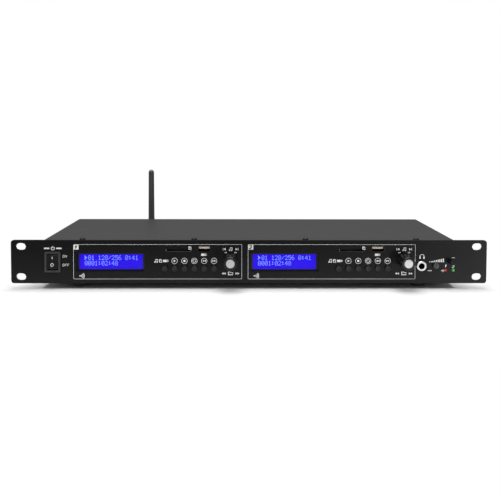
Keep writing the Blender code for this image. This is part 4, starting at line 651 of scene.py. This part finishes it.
def phones_marks():
    """The headphone section: phones over the jack, rising bars, minus and plus at the volume
    knob, 1 and 2 at the lamps, a dash over the source button."""
    x, z = PHONES_SIGN[0], above_edge(PHONES_SIGN[1])
    marks = [ink(round_path((x, z), 2.15, 0, 180, 16))]
    for ear in (x - 2.0, x + 2.0):
        marks.append(patch(soft_box((ear - 0.7, z - 2.3), (ear + 0.7, z + 0.1), 0.4)))
    left, base, step = VOLUME_BARS
    for count in range(9):
        tall = 0.6 + 0.4 * count
        marks.append(box_patch(left + step * count, above_edge(base) + tall / 2, 1.1, tall))
    row = above_edge(MINUS_ROW)
    marks += [level(row, 181.4, 185.4, 0.6), level(row, 194.9, 198.5, 0.6)]
    marks.append(upright(196.7, row - 1.3, row + 1.3, 0.6))
    marks += letter(ONE, 198.2, above_edge(16.4), DIGIT_HEIGHT, WIDE)
    marks += letter(TWO, 205.9, above_edge(15.8), DIGIT_HEIGHT, WIDE)
    return marks + [level(above_edge(26.2), 205.6, 208.6)]


print("letters", WORD_HEIGHT, "mm high, digits", DIGIT_HEIGHT)

# %% Printing
white_ink = grained("white_ink", grey(0.86), grey(0.92), 0.5, 0.2, 0.004)
black_ink = grained("black_ink", grey(0.008), grey(0.012), 0.5, 0.2, 0.004)
marks = switch_marks() + phones_marks()
for centre in DECKS.values():
    marks += deck_marks(centre)
build("panel_marks", marks, white_ink, "chassis")

TAG_DIGIT, TAG_SCALE, TAG_LINE = (-84.0, 35.2), 0.55, 0.95
tags = []
for number, shape in ((1, ONE), (2, TWO)):
    x, z = DECKS[number] + TAG_DIGIT[0], above_edge(TAG_DIGIT[1])
    for line in shape:
        tags.append(stroke(slanted(line, x, z, TAG_SCALE), TAG_LINE, TAG_HIGH, INK_LOW))
build("deck_numbers", tags, black_ink, "chassis")
print(len(marks), "printed marks")

# %% [markdown]
# ## Displays
#
# A display is a blue lit panel with pale dots, five across and seven down for each character.
# The blue is an emission, a little uneven, with the faint grid of the unlit dots over it. The lit
# dots are small flat tiles just in front of the glass: a play arrow and plain numbers.

# %% Blue glass
DOT_STEP, DOT = np.array([0.60, 0.67]), np.array([0.43, 0.48])
GRID_LINE = 0.05


def lit_glass(name, tone, power):
    """A lit panel: its own colour as emission, drifting a little, darker along a fine grid."""
    made, tree, shader = new_finish(name, 0.12, specular=0.12)
    drift = stretch(tree, noise(tree, 22.0, 1.0), 0.3, 0.7)
    drifting = blend_tones(tree, drift, scaled(tone, 0.86), tone)
    grid = []
    for axis, pitch in zip("XZ", DOT_STEP):
        wave = reckon(tree, "PINGPONG", place_of(tree, axis), pitch * MM / 2)
        grid.append(stretch(tree, wave, 0.0, GRID_LINE * MM))
    inside = reckon(tree, "MULTIPLY", *grid)
    colour = blend_tones(tree, inside, scaled(tone, 0.88), drifting)
    tree.links.new(colour, shader.inputs["Base Color"])
    shine(tree, shader, colour, power)
    return made


blue_glass = lit_glass("blue_glass", (0.026, 0.007, 0.84), 0.48)
dot_glass = lit_glass("dot_glass", (0.34, 0.48, 1.0), 0.66)
print("two lit glasses")

# %% Dots
GLYPHS = {
    "0": (14, 17, 19, 21, 25, 17, 14), "1": (4, 12, 4, 4, 4, 4, 14), "2": (14, 17, 1, 2, 4, 8, 31),
    "4": (2, 6, 10, 18, 31, 2, 2), "5": (31, 16, 30, 1, 1, 17, 14), "6": (6, 8, 16, 30, 17, 17, 14),
    "8": (14, 17, 17, 14, 17, 17, 14), ":": (0, 12, 12, 0, 12, 12, 0), "/": (0, 1, 2, 4, 8, 16, 0),
    ">": (16, 24, 28, 30, 28, 24, 16), " ": (0,) * 7,
}
LINES = (">01 128/256 0:41", "0001:02:48")
CELL_STEP, LINE_STEP, FIRST_DOT = 3.42, 5.65, (-26.8, 6.2)


def display_dots(number):
    """Tiles at cell + column times the dot's step, for each bit that is set in a glyph's rows."""
    name = f"deck{number}_lcd_module"
    front = corners(name)[0][1] - 0.05
    centre = centre_of(name)
    spots = []
    for line, text in enumerate(LINES):
        for cell, sign in enumerate(text):
            rows = (np.array(GLYPHS[sign])[:, None] >> np.arange(4, -1, -1)) & 1
            down, across = np.nonzero(rows)
            x = centre[0] + FIRST_DOT[0] + cell * CELL_STEP + across * DOT_STEP[0]
            z = centre[1] + FIRST_DOT[1] - line * LINE_STEP - down * DOT_STEP[1]
            spots.append(np.stack([x, z], 1))
    spots = np.concatenate(spots)
    tile = np.array(rectangle((0, 0), (1, -1))) * DOT
    flat = (spots[:, None, :] + tile[None]).reshape(-1, 2)
    return np.insert(flat, 1, front, axis=1), np.arange(len(flat)).reshape(-1, 4)


for number in DECKS:
    dress(blue_glass, f"deck{number}_lcd_module")
    dots = display_dots(number)
    build(f"deck{number}_display_dots", [dots], dot_glass, "chassis")
    print("display", number, "has", len(dots[1]), "lit dots")

# %% [markdown]
# ## Knobs and buttons
#
# The knob is one profile carried round, from the bright face over a rounded rim down the tapered
# grip to the shaft. The face, spun with hair-thin rings, is a piece of its own, because it is
# metal let into plastic.


# %% Spun metal
def spun_metal(name, tone, roughness, rings, centre):
    """Metal with fine rings: a sine of the distance from an axis along Y, lifted as a bump."""
    made, tree, shader = new_finish(name, roughness, 1.0)
    turns = reckon(tree, "MULTIPLY", off_axis(tree, centre), 2 * np.pi * rings / MM)
    shade = stretch(tree, noise(tree, 0.4), 0.3, 0.7)
    colour = blend_tones(tree, shade, scaled(tone, 0.93), tone)
    return coat(made, shader, colour, reckon(tree, "SINE", turns), 0.004)


def off_axis(tree, centre):
    """How far a point lies from an axis along Y through x, z in millimetres."""
    return distance(tree, (1.0, 0.0, 1.0), (-centre[0] * MM, 0.0, -centre[1] * MM))


print("spun metal ready")

# %% Deck knobs
# A profile is pairs of a radius and a depth behind the piece's front.
GRIP_RADIUS, WIDENING, SKIRT, SHAFT, SHAFT_FLAT = 6.6, 0.6, 7.0, 3.0, 2.2
GRIP = [(0.0, 0.5), (4.7, 0.5), (4.85, 0.12), *quarter(GRIP_RADIUS, 0.0, 1.0, 8)]
DISC = [(0.0, 0.16), (4.0, 0.16), *quarter(4.35, 0.2, 0.3, 4), (4.6, 0.7), (0.0, 0.7)]


def behind(front, profile):
    """A profile put in place, its depths counted from a front along Y."""
    return [(radius, front + depth) for radius, depth in profile]


def flatted_shaft(centre, low, high):
    """A D-shaped shaft along Y: a circle cut level above its middle."""
    outline = round_path(centre, SHAFT, count=40)
    outline[:, 1] = np.minimum(outline[:, 1], centre[1] + SHAFT_FLAT)
    return plate(outline, low, high)


for number in DECKS:
    name = f"deck{number}_knob"
    low, high = corners(name)
    centre, front, back, end = centre_of(name), low[1], FACE - 1.2, FACE + 0.4
    profile = behind(front, GRIP)
    for share in (0.25, 0.5, 0.75, 1.0):
        depth = 1.0 + share * (back - front - 1.4)
        profile.append((GRIP_RADIUS + WIDENING * share, front + depth))
    profile += [(SKIRT, back), (SHAFT, back), (SHAFT, end), (0.0, end)]
    grip = [turned(profile, centre, 72), flatted_shaft(centre, FACE + 0.38, high[1])]
    build(name + "_grip", grip, knob_black, name + "_body", (name,))
    silver = spun_metal(f"spun_face_{number}", grey(0.74, 0.745), 0.42, 3.0, centre)
    disc = [turned(behind(front, DISC), centre, 64)]
    build(name + "_face", disc, silver, name + "_body")
print(len(DECKS), "knobs")


# %% Buttons
def cap(name, profile, material, body):
    """A round cap that takes a node's place, from a profile of its front to the node's back."""
    low, high = corners(name)
    pairs = behind(low[1], profile) + [(profile[-1][0], high[1]), (0.0, high[1])]
    shape = turned(pairs, centre_of(name), 40)
    build(name + "_cap", [shape], material, body, (name,))


BUTTON = [(0.0, 0.28), (1.2, 0.22), (2.0, 0.08), *quarter(2.9, 0.0, 0.5)]
BUTTON += [(2.9, 5.3), (3.8, 5.3), (3.8, 6.3), (1.6, 6.3)]
for number in DECKS:
    for count in range(1, 7):
        name = f"deck{number}_button_{count}"
        cap(name, BUTTON, button_grey, name + "_body")
print("12 caps")

# %% [markdown]
# ## Headphone corner
#
# The jack is a turned ring of bright metal round a dark bore. The volume knob is a stack of
# outlines with a notch for its pointer. The source button is a tall cap. The two lamps are
# lenses: clear colour that glows from inside, brightest at the middle.

# %% Jack, volume and source
bright_metal = grained("bright_metal", grey(0.58), grey(0.68), 0.22, 1.5, 0.004, metallic=1.0)
volume_tones = (0.045, 0.048, 0.047), (0.060, 0.063, 0.062)
volume_grey = grained("volume_grey", *volume_tones, 0.4, 0.25, 0.008)
t = np.linspace(0.0, np.pi, 9)
LIP = zip(4.0 - 0.55 * np.cos(t), 0.4 - 0.4 * np.sin(t))
JACK = [(3.45, 0.95), *LIP, *quarter(5.05, 0.42, 0.3), (5.05, 1.12), (3.45, 1.12), (3.45, 0.95)]
DIAL = [*quarter(2.8, 0.0, 0.4), (2.8, 0.7)]
POINTER_HALF = 0.35


def notched(centre, radius, half, count=36):
    """Outline of a disc with a slot of that half width from its middle up through its rim."""
    side = np.degrees(np.arcsin(half / radius))
    arc = round_path(centre, radius, 90 + side, 450 - side, count)
    floor = [(centre[0] + half, centre[1]), (centre[0] - half, centre[1])]
    return np.concatenate([arc, floor])


ring = behind(corners("headphone_jack")[0][1], JACK)
ring = [turned(ring, centre_of("headphone_jack"), 56)]
build("headphone_jack_ring", ring, bright_metal, "chassis")

low, high = corners("volume_knob")
middle, front, back, end = centre_of("volume_knob"), low[1], high[1], FACE + 3.5
layers = [(notched(middle, r, POINTER_HALF), depth) for r, depth in behind(front, DIAL)]
profile = behind(front, [(0.0, 0.7), (2.8, 0.7)])
profile += [(2.8, end), (2.0, end), (2.0, back), (0.0, back)]
shapes = [stacked(layers), turned(profile, middle, 40)]
build("volume_knob_cap", shapes, volume_grey, "volume_body", ("volume_knob",))

SOURCE = [(0.0, 0.12), (1.4, 0.06), *quarter(2.5, 0.0, 0.45)]
SOURCE += [(2.5, 11.3), (3.3, 11.3), (3.3, 12.3), (1.8, 12.3)]
cap("source_button", SOURCE, satin_black, "source_body")
print("jack ring, volume knob and source button")

# %% Lamps
LENSES = {"lamp_1": ((0.36, 0.015, 0.02), "red_lens"), "lamp_2": ((0.06, 0.38, 0.07), "green_lens")}
LENS_RADIUS, LENS_ROW, LEAD_PLACES, LEAD_HALF = 1.5, 19.0, (-0.65, 0.65), 0.25
DOME = [*quarter(LENS_RADIUS, 0.0, LENS_RADIUS, 8), (LENS_RADIUS, 4.5), (0.0, 4.5)]


def lamp_lens(name, tone, power, centre):
    """A lens whose glow falls off from its middle with the distance from the axis along Y."""
    made, tree, shader = new_finish(name, 0.12)
    core = stretch(tree, off_axis(tree, centre), 0.0, LENS_RADIUS * MM, 1.0, 0.0)
    colour = blend_tones(tree, core, scaled(tone, 0.45), tone)
    shine(tree, shader, colour, power)
    return coat(made, shader, colour, noise(tree, 0.5, 1.0), 0.01)


for name, (tone, slot) in LENSES.items():
    low, high = corners(name)
    centre, front = (centre_of(name)[0], LENS_ROW), low[1]
    start, bend = front + 4.4, high[1] - 0.5
    under, over = LENS_ROW - LEAD_HALF, LENS_ROW + LEAD_HALF
    lead = [(start, under), (bend, under), (bend, low[2]), (high[1], low[2])]
    lead += [(high[1], over), (start, over)]
    shapes = [turned(behind(front, DOME), centre, 32)]
    for side in LEAD_PLACES:
        x = centre[0] + side
        shapes.append(plate(lead, x - LEAD_HALF, x + LEAD_HALF, "X"))
    glow = lamp_lens(name + "_glow", tone, 0.9, centre)
    build(name + "_lens", shapes, glow, "chassis", (name,))
print("headphone corner done")

# %% [markdown]
# ## Power switch
#
# A rocker is one outline across its pivot, given a width: two shallow wings meeting in a dip,
# with their ends on a circle about the pivot so that they clear the housing as it tips. The dip
# is a smooth curve here, a cosine, where the solid has a plain fold.

# %% Rocker
PIVOT, TIP = (FACE + 1.0, 27.7), np.radians(-8.0)
END_RADIUS, PROUD, DIP, BACK, BACK_HALF = 8.1, 4.7, 0.9, 3.4, 4.0
WIDTH_HALF, ROUNDING, DRAWN_IN = 5.5, 0.45, 0.055
ROUND_STEPS = [(0.0, 1.0), (0.25, 0.66), (0.6, 0.25), (1.0, 0.0)]
end = np.arcsin(PROUD / END_RADIUS)
rise = END_RADIUS * np.cos(end)
spin = np.array([[np.cos(TIP), np.sin(TIP)], [-np.sin(TIP), np.cos(TIP)]])
middle = centre_of("power_rocker")[0]


def rocker_face(z):
    """How far the front lies from the pivot at height z: proud, less a cosine dip in the middle."""
    return -PROUD + DIP * (0.5 + 0.5 * np.cos(np.pi * z / rise))


z = np.linspace(-rise + 0.35, rise - 0.35, 25)
front = np.stack([rocker_face(z), z], 1)
turn = np.linspace(end - 0.07, -0.2, 5)
upper = np.stack([-END_RADIUS * np.sin(turn), END_RADIUS * np.cos(turn)], 1)
rear = [(BACK, BACK_HALF), (BACK, -BACK_HALF)]
outline = np.concatenate([front, upper, rear, upper[::-1] * (1, -1)])


def rocker_section(share):
    """The rocker's outline drawn in towards the pivot by a share, then tipped and put in place."""
    return outline * (1 - DRAWN_IN * share) @ spin + PIVOT


left, right = middle - WIDTH_HALF, middle + WIDTH_HALF
sections = [(rocker_section(share), left + ROUNDING * t) for t, share in ROUND_STEPS]
sections += [(rocker_section(share), right - ROUNDING * t) for t, share in reversed(ROUND_STEPS)]
paddle = [stacked(sections, "X")]
build("power_rocker_paddle", paddle, satin_black, "rocker_body",
      ("power_rocker",), sharp=40.0)


def on_rocker(mark):
    """Lays a flat mark on the rocker: adds the face's depth, then tips it about the pivot."""
    points, faces = mark
    points[:, 1] += rocker_face(points[:, 2])
    points[:, 1:] = points[:, 1:] @ spin + PIVOT
    return points, faces


signs = [stroke([(middle, 2.6), (middle, 5.0)], 0.55, -0.05, 0.03)]
signs.append(stroke(round_path((middle, -3.2), 1.35), 0.5, -0.05, 0.03, True))
signs = [on_rocker(sign) for sign in signs]
build("power_rocker_signs", signs, white_ink, "rocker_body")
print("rocker of", len(outline), "points a side")

# %% [markdown]
# ## Screws and feet
#
# The lid is held by low domed screws with a cross recess, pressed into the dome by a depth that
# depends on how far a point lies from the cross's two arms. The feet are turned rubber with a
# rounded lower edge.

# %% Screws and feet
DOME_TOP, DOME_FALL, EDGE_FROM, HEAD_RADIUS = 1.76, 0.07, 2.4, 3.0
ARM_HALF, ARM_REACH, CROSS_DEPTH, CROSS_SLOPE = 0.4, 1.45, 0.9, 0.16
HEAD_HEIGHT, THREAD_DEPTH = 1.8, 0.12


def arm(along, across):
    """How far a point lies outside one arm of the cross."""
    return np.maximum(np.abs(along) - ARM_REACH, np.abs(across) - ARM_HALF)


def screw_head(centre, seat, count=64, rings=22):
    """Points (r cos t, r sin t, dome minus cross): the dome is its top less a share of r squared,
    with a rounded edge, and the cross sinks where either arm covers the point."""
    radii = np.concatenate([np.linspace(0, 2.1, rings - 6), np.linspace(2.3, HEAD_RADIUS, 6)])
    t = np.arange(count) * 2 * np.pi / count
    r, a = np.meshgrid(radii, t, indexing="ij")
    x, y = r * np.cos(a), r * np.sin(a)
    edge = np.clip((r - EDGE_FROM) / (HEAD_RADIUS - EDGE_FROM), 0, 1) ** 3
    cross = np.clip(0.5 - np.minimum(arm(x, y), arm(y, x)) / CROSS_SLOPE, 0, 1)
    height = DOME_TOP - DOME_FALL * r**2 - 0.5 * edge - CROSS_DEPTH * cross
    top = np.stack([x + centre[0], y + centre[1], height + seat], -1).reshape(-1, 3)
    under = top[-count:] * (1, 1, 0) + (0, 0, seat)
    middle = np.tile([*centre, seat], (count, 1))
    return np.concatenate([top, under, middle]), grid_faces(rings + 2, count, True)


def thread(centre, top, bottom, radius=1.4, pitch=0.5, rows=40, count=20):
    """A helix: the radius shrinks and grows with a sine of the height over the pitch less the
    angle."""
    angles = np.arange(count) * 2 * np.pi / count
    z, t = np.meshgrid(np.linspace(top, bottom, rows), angles, indexing="ij")
    wave = radius - THREAD_DEPTH + THREAD_DEPTH * np.sin(2 * np.pi * z / pitch - t)
    x, y = centre[0] + wave * np.cos(t), centre[1] + wave * np.sin(t)
    walls = np.stack([x, y, z], -1).reshape(-1, 3)
    first, last = (np.tile([*centre, end], (count, 1)) for end in (top, bottom))
    return np.concatenate([first, walls, last]), grid_faces(rows + 2, count, True)


for number in range(1, 5):
    name = f"cover_screw_{number}"
    (_, _, bottom), (_, _, top) = corners(name)
    centre, seat = centre_of(name, "XY"), top - HEAD_HEIGHT
    shapes = [screw_head(centre, seat), thread(centre, seat + 0.01, bottom)]
    build(name + "_turned", shapes, dark_steel, "chassis", (name,))

t = np.linspace(0, np.pi / 2, 6)
FOOT = [(0.0, 2.2), (3.2, 2.2), (3.2, 0.3), (3.4, 0.0)]
FOOT += [*zip(5.6 + 0.8 * np.sin(t), 0.8 - 0.8 * np.cos(t)), (6.75, 4.0), (7.0, 6.0), (6.9, 6.2)]
STEM_RADIUS, SHOULDER = 2.2, 6.2
for name in ("foot_front_left", "foot_front_right", "foot_rear_left", "foot_rear_right"):
    top = corners(name)[1][2]
    profile = FOOT + [(STEM_RADIUS, SHOULDER), (STEM_RADIUS, top), (0.0, top)]
    shape = turned(profile, centre_of(name, "XY"), 56, "Z")
    build(name + "_rubber", [shape], soft_rubber, "chassis", (name,))
print("4 screws and 4 feet turned")

# %% [markdown]
# ## Sheet, boards and cables
#
# The rest keeps its solid and needs only a skin. A circuit board is green where it's flat, with
# a brick pattern's joints for traces, and dark where parts stand on it. A ribbon cable is a wave
# across its width, its grooves painted darker as shade, with one red wire at the edge. Gold and
# brass are told from the plastic round them by where they are.


# %% Finishes by place
FAR = 1000.0


def inside(tree, spans):
    """1 where a point lies within the span of each axis, in millimetres, else 0."""
    factor = 1.0
    for axis, (low, high) in spans.items():
        for operation, end in (("GREATER_THAN", low), ("LESS_THAN", high)):
            past = reckon(tree, operation, place_of(tree, axis), end * MM)
            factor = reckon(tree, "MULTIPLY", factor, past)
    return factor


def board_mask(name, axis, low):
    """Green lacquer with paler traces through a board's thickness from its low side along an
    axis, dark parts outside."""
    made, tree, shader = new_finish(name, 0.35)
    turn = node(tree, "Mapping", Rotation=(np.pi / 2 if axis == "Y" else 0.0, 0.0, 0.0))
    tree.links.new(own_place(tree), turn.inputs["Vector"])
    brick = node(tree, "TexBrick", Scale=1.0 / (5.0 * MM), Mortar_Size=0.06,
                 Color1=(0.012, 0.085, 0.035, 1.0), Color2=(0.010, 0.070, 0.030, 1.0),
                 Mortar=(0.05, 0.20, 0.085, 1.0))
    tree.links.new(turn.outputs["Vector"], brick.inputs["Vector"])
    flat = inside(tree, {axis: (low - 0.05, low + BOARD + 0.05)})
    part = blend_tones(tree, noise(tree, 0.6), grey(0.012, 0.013), grey(0.022, 0.023))
    colour = blend_tones(tree, flat, part, brick.outputs["Color"])
    return coat(made, shader, colour, brick.outputs["Fac"], 0.02)


def two_part(name, first, second, spans, roughness, metallic=0.0, outside=False):
    """One material for a piece of two stuffs: the second is inside the spans, or outside them."""
    made, tree, shader = new_finish(name, roughness)
    factor = inside(tree, spans)
    if outside:
        factor = reckon(tree, "SUBTRACT", 1.0, factor)
    fine = noise(tree, 0.4)
    plain = blend_tones(tree, fine, scaled(first, 0.8), scaled(first, 1.2))
    other = blend_tones(tree, fine, scaled(second, 0.9), scaled(second, 1.1))
    tree.links.new(stretch(tree, factor, 0.0, 1.0, 0.0, metallic), shader.inputs["Metallic"])
    return coat(made, shader, blend_tones(tree, factor, plain, other), fine, 0.006)


def ribbon_shade_and_red_wire(name, right):
    """Grey insulation ribbed by a wave across its width, painted darker in the grooves and paler
    on the crests as shade, with a red wire at its right edge.
    """
    made, tree, shader = new_finish(name, 0.55)
    wave = reckon(tree, "PINGPONG", place_of(tree, "X"), WIRE_PITCH / 2 * MM)
    rib = stretch(tree, wave, 0.0, WIRE_PITCH / 2 * MM)
    # painted shade: darker in the grooves between the wires, paler on their crests
    plain = blend_tones(tree, rib, (0.20, 0.21, 0.22), (0.36, 0.37, 0.39))
    edge = inside(tree, {"X": (right - 1.3, FAR)})
    colour = blend_tones(tree, edge, plain, (0.45, 0.03, 0.03))
    return coat(made, shader, colour, rib, 0.15)


def twisted(name, tone, pitch):
    """A cord's skin: bands along the wire from a wave of its place, softened by noise, that also
    lift a bump; the raised bands are painted lighter and the grooves darker, as shade.
    """
    made, tree, shader = new_finish(name, 0.5)
    bands = node(tree, "TexWave", Scale=1.0 / (pitch * MM), Distortion=0.6, Detail=1.0)
    bands.bands_direction = "DIAGONAL"
    tree.links.new(own_place(tree), bands.inputs["Vector"])
    # painted shade: the wave that lifts the twist also darkens its grooves and lightens its raised
    # bands
    colour = blend_tones(tree, bands.outputs["Fac"], tone, scaled(tone, 1.8))
    return coat(made, shader, colour, bands.outputs["Fac"], 0.08)


print("boards, two stuffs, ribbon and cord ready")

# %% Dressing the solids
BOARD, WIRE_PITCH, TAPE = 1.6, 1.27, 2.2
PLAYER_BOARD = FACE + 12.0


def each(part):
    """The names of both decks' solids of one kind."""
    return [f"deck{number}_{part}" for number in DECKS]


antenna_rubber = grained("antenna_rubber", grey(0.046, 0.047), grey(0.062, 0.063), 0.30, 0.3, 0.01)
nickel = grained("nickel", (0.50, 0.49, 0.47), (0.60, 0.59, 0.56), 0.24, 0.9, 0.006, metallic=1.0)
shell_tones = (0.080, 0.052, 0.034), (0.11, 0.072, 0.048)
usb_shell = grained("usb_shell", *shell_tones, 0.34, 0.8, 0.004, metallic=1.0)
dress(panel_paint, "front_panel")
dress(lid_paint, "top_cover", "chassis_base")
dress(satin_black, "fuse_drawer")
dress(antenna_rubber, "antenna_knuckle", "antenna_rod")
dress(dark_steel, *each("lcd_frame"))
dress(zinc, *each("sd_socket"))
dress(nickel, "antenna_socket", *each("encoder_rotor"))
dress(usb_shell, *each("usb_socket"))
dress(board_mask("player_board", "Y", PLAYER_BOARD), *each("player_board"))
for mask, names in (("floor_board", ("output_board", "power_supply_board")),
                    ("phones_board", ("headphone_board",))):
    dress(board_mask(mask, "Z", corners(names[0])[0][2]), *names)
for name in each("ribbon_cable"):
    dress(ribbon_shade_and_red_wire(name + "_shade_and_red_wire", corners(name)[1][0]), name)
dress(twisted("mains_cord", grey(0.010, 0.011), 2.2), "mains_cable", "switch_cable")
dress(twisted("coax_cord", grey(0.016, 0.018), 1.2), "antenna_coax")
print("plain finishes, boards and cables dressed")


# %% Pieces of two stuffs
PLASTIC = grey(0.012)
PINS = {"X": (-188.6, -171.4), "Y": (REAR - 14.6, REAR), "Z": (27.0, 40.5)}
left, right = (corner[0] for corner in corners("power_transformer"))
WINDING = {"X": (left + TAPE, right - TAPE)}
# For each solid its finish: name, both tones, where the second one is, roughness, metallic.
TWO_PARTS = {
    "power_transformer":
        ("ferrite_core", grey(0.03, 0.032), (0.55, 0.36, 0.03), WINDING, 0.4, 0.0, True),
    "power_switch_housing":
        ("switch_housing", grey(0.006), (0.033, 0.034, 0.035), {"Y": (-FAR, FACE)}, 0.36),
    "headphone_jack":
        ("jack_body", PLASTIC, grey(0.60), {"Y": (-FAR, FACE + 0.2)}, 0.3, 1.0),
    "rca_block":
        ("output_sockets", PLASTIC, (0.72, 0.50, 0.20), {"Y": (REAR - 1.0, FAR)}, 0.3, 1.0),
    "mains_inlet":
        ("mains_inlet_plastic", PLASTIC, (0.62, 0.44, 0.16), PINS, 0.35, 1.0),
}
for name, recipe in TWO_PARTS.items():
    dress(two_part(*recipe), name)
bare = [name for name in nodes if not nodes[name].data.materials]
print(len(nodes), "solids dressed, without a finish:", bare)

# %% [markdown]
# ## Inside the sockets
#
# A USB port has a pale tongue and four gold contacts under it. On the rear the output sockets are
# told apart by the ring round their hole: white above, red below.

# %% Tongues, contacts and rings
tongue_white = grained("tongue_white", (0.78, 0.73, 0.64), (0.86, 0.82, 0.74), 0.45, 0.3, 0.004)
gold_tones = (0.80, 0.56, 0.22), (0.90, 0.66, 0.30)
contact_gold = grained("contact_gold", *gold_tones, 0.25, 0.4, 0.003, metallic=1.0)
TONGUE_HALF, TONGUE_RISE, TONGUE_HEIGHT, TONGUE_RECESS = 5.45, 0.95, 4.1, 2.0
FIRST_CONTACT, CONTACT_STEP, CONTACT_WIDTH = -4.05, 2.3, 1.2
for name in each("usb_"):
    low = corners(name + "socket")[0]
    x, y, z = centre_of(name + "socket")[0], low[1] + TONGUE_RECESS, low[2] + TONGUE_HEIGHT
    skin = rectangle((x - TONGUE_HALF, z - TONGUE_RISE), (x + TONGUE_HALF, z + TONGUE_RISE))
    tongue = [plate(skin, y - 0.1, y + 8.0)]
    build(name + "tongue", tongue, tongue_white, "chassis")
    pads = []
    for count in range(4):
        left = x + FIRST_CONTACT + CONTACT_STEP * count
        pad = rectangle((left, z - 1.02), (left + CONTACT_WIDTH, z - 0.9))
        pads.append(plate(pad, y + 0.3, y + 7.0))
    build(name + "contacts", pads, contact_gold, "chassis")

MIDDLE_ROW, PITCH, HOLE, COLLAR = 29.3, 14.0, 1.75, 3.5
column, rear = centre_of("rca_block")[0], corners("rca_block")[1][1]
low, high = rear - 0.3, rear + 0.05
ring = [(HOLE, low), (HOLE, high), (COLLAR, high), (COLLAR, low), (HOLE, low)]
for side, way, tone in (("upper", 1, (0.62, 0.61, 0.58)), ("lower", -1, (0.50, 0.02, 0.02))):
    row = MIDDLE_ROW + way * PITCH / 2
    rings = [turned(ring, (column + step * PITCH, row), 40) for step in (-1, 0, 1)]
    plastic = grained(side + "_ring_plastic", tone, scaled(tone, 1.15), 0.4, 0.3, 0.004)
    build(side + "_output_rings", rings, plastic, "chassis")
print("two USB ports, six output sockets")
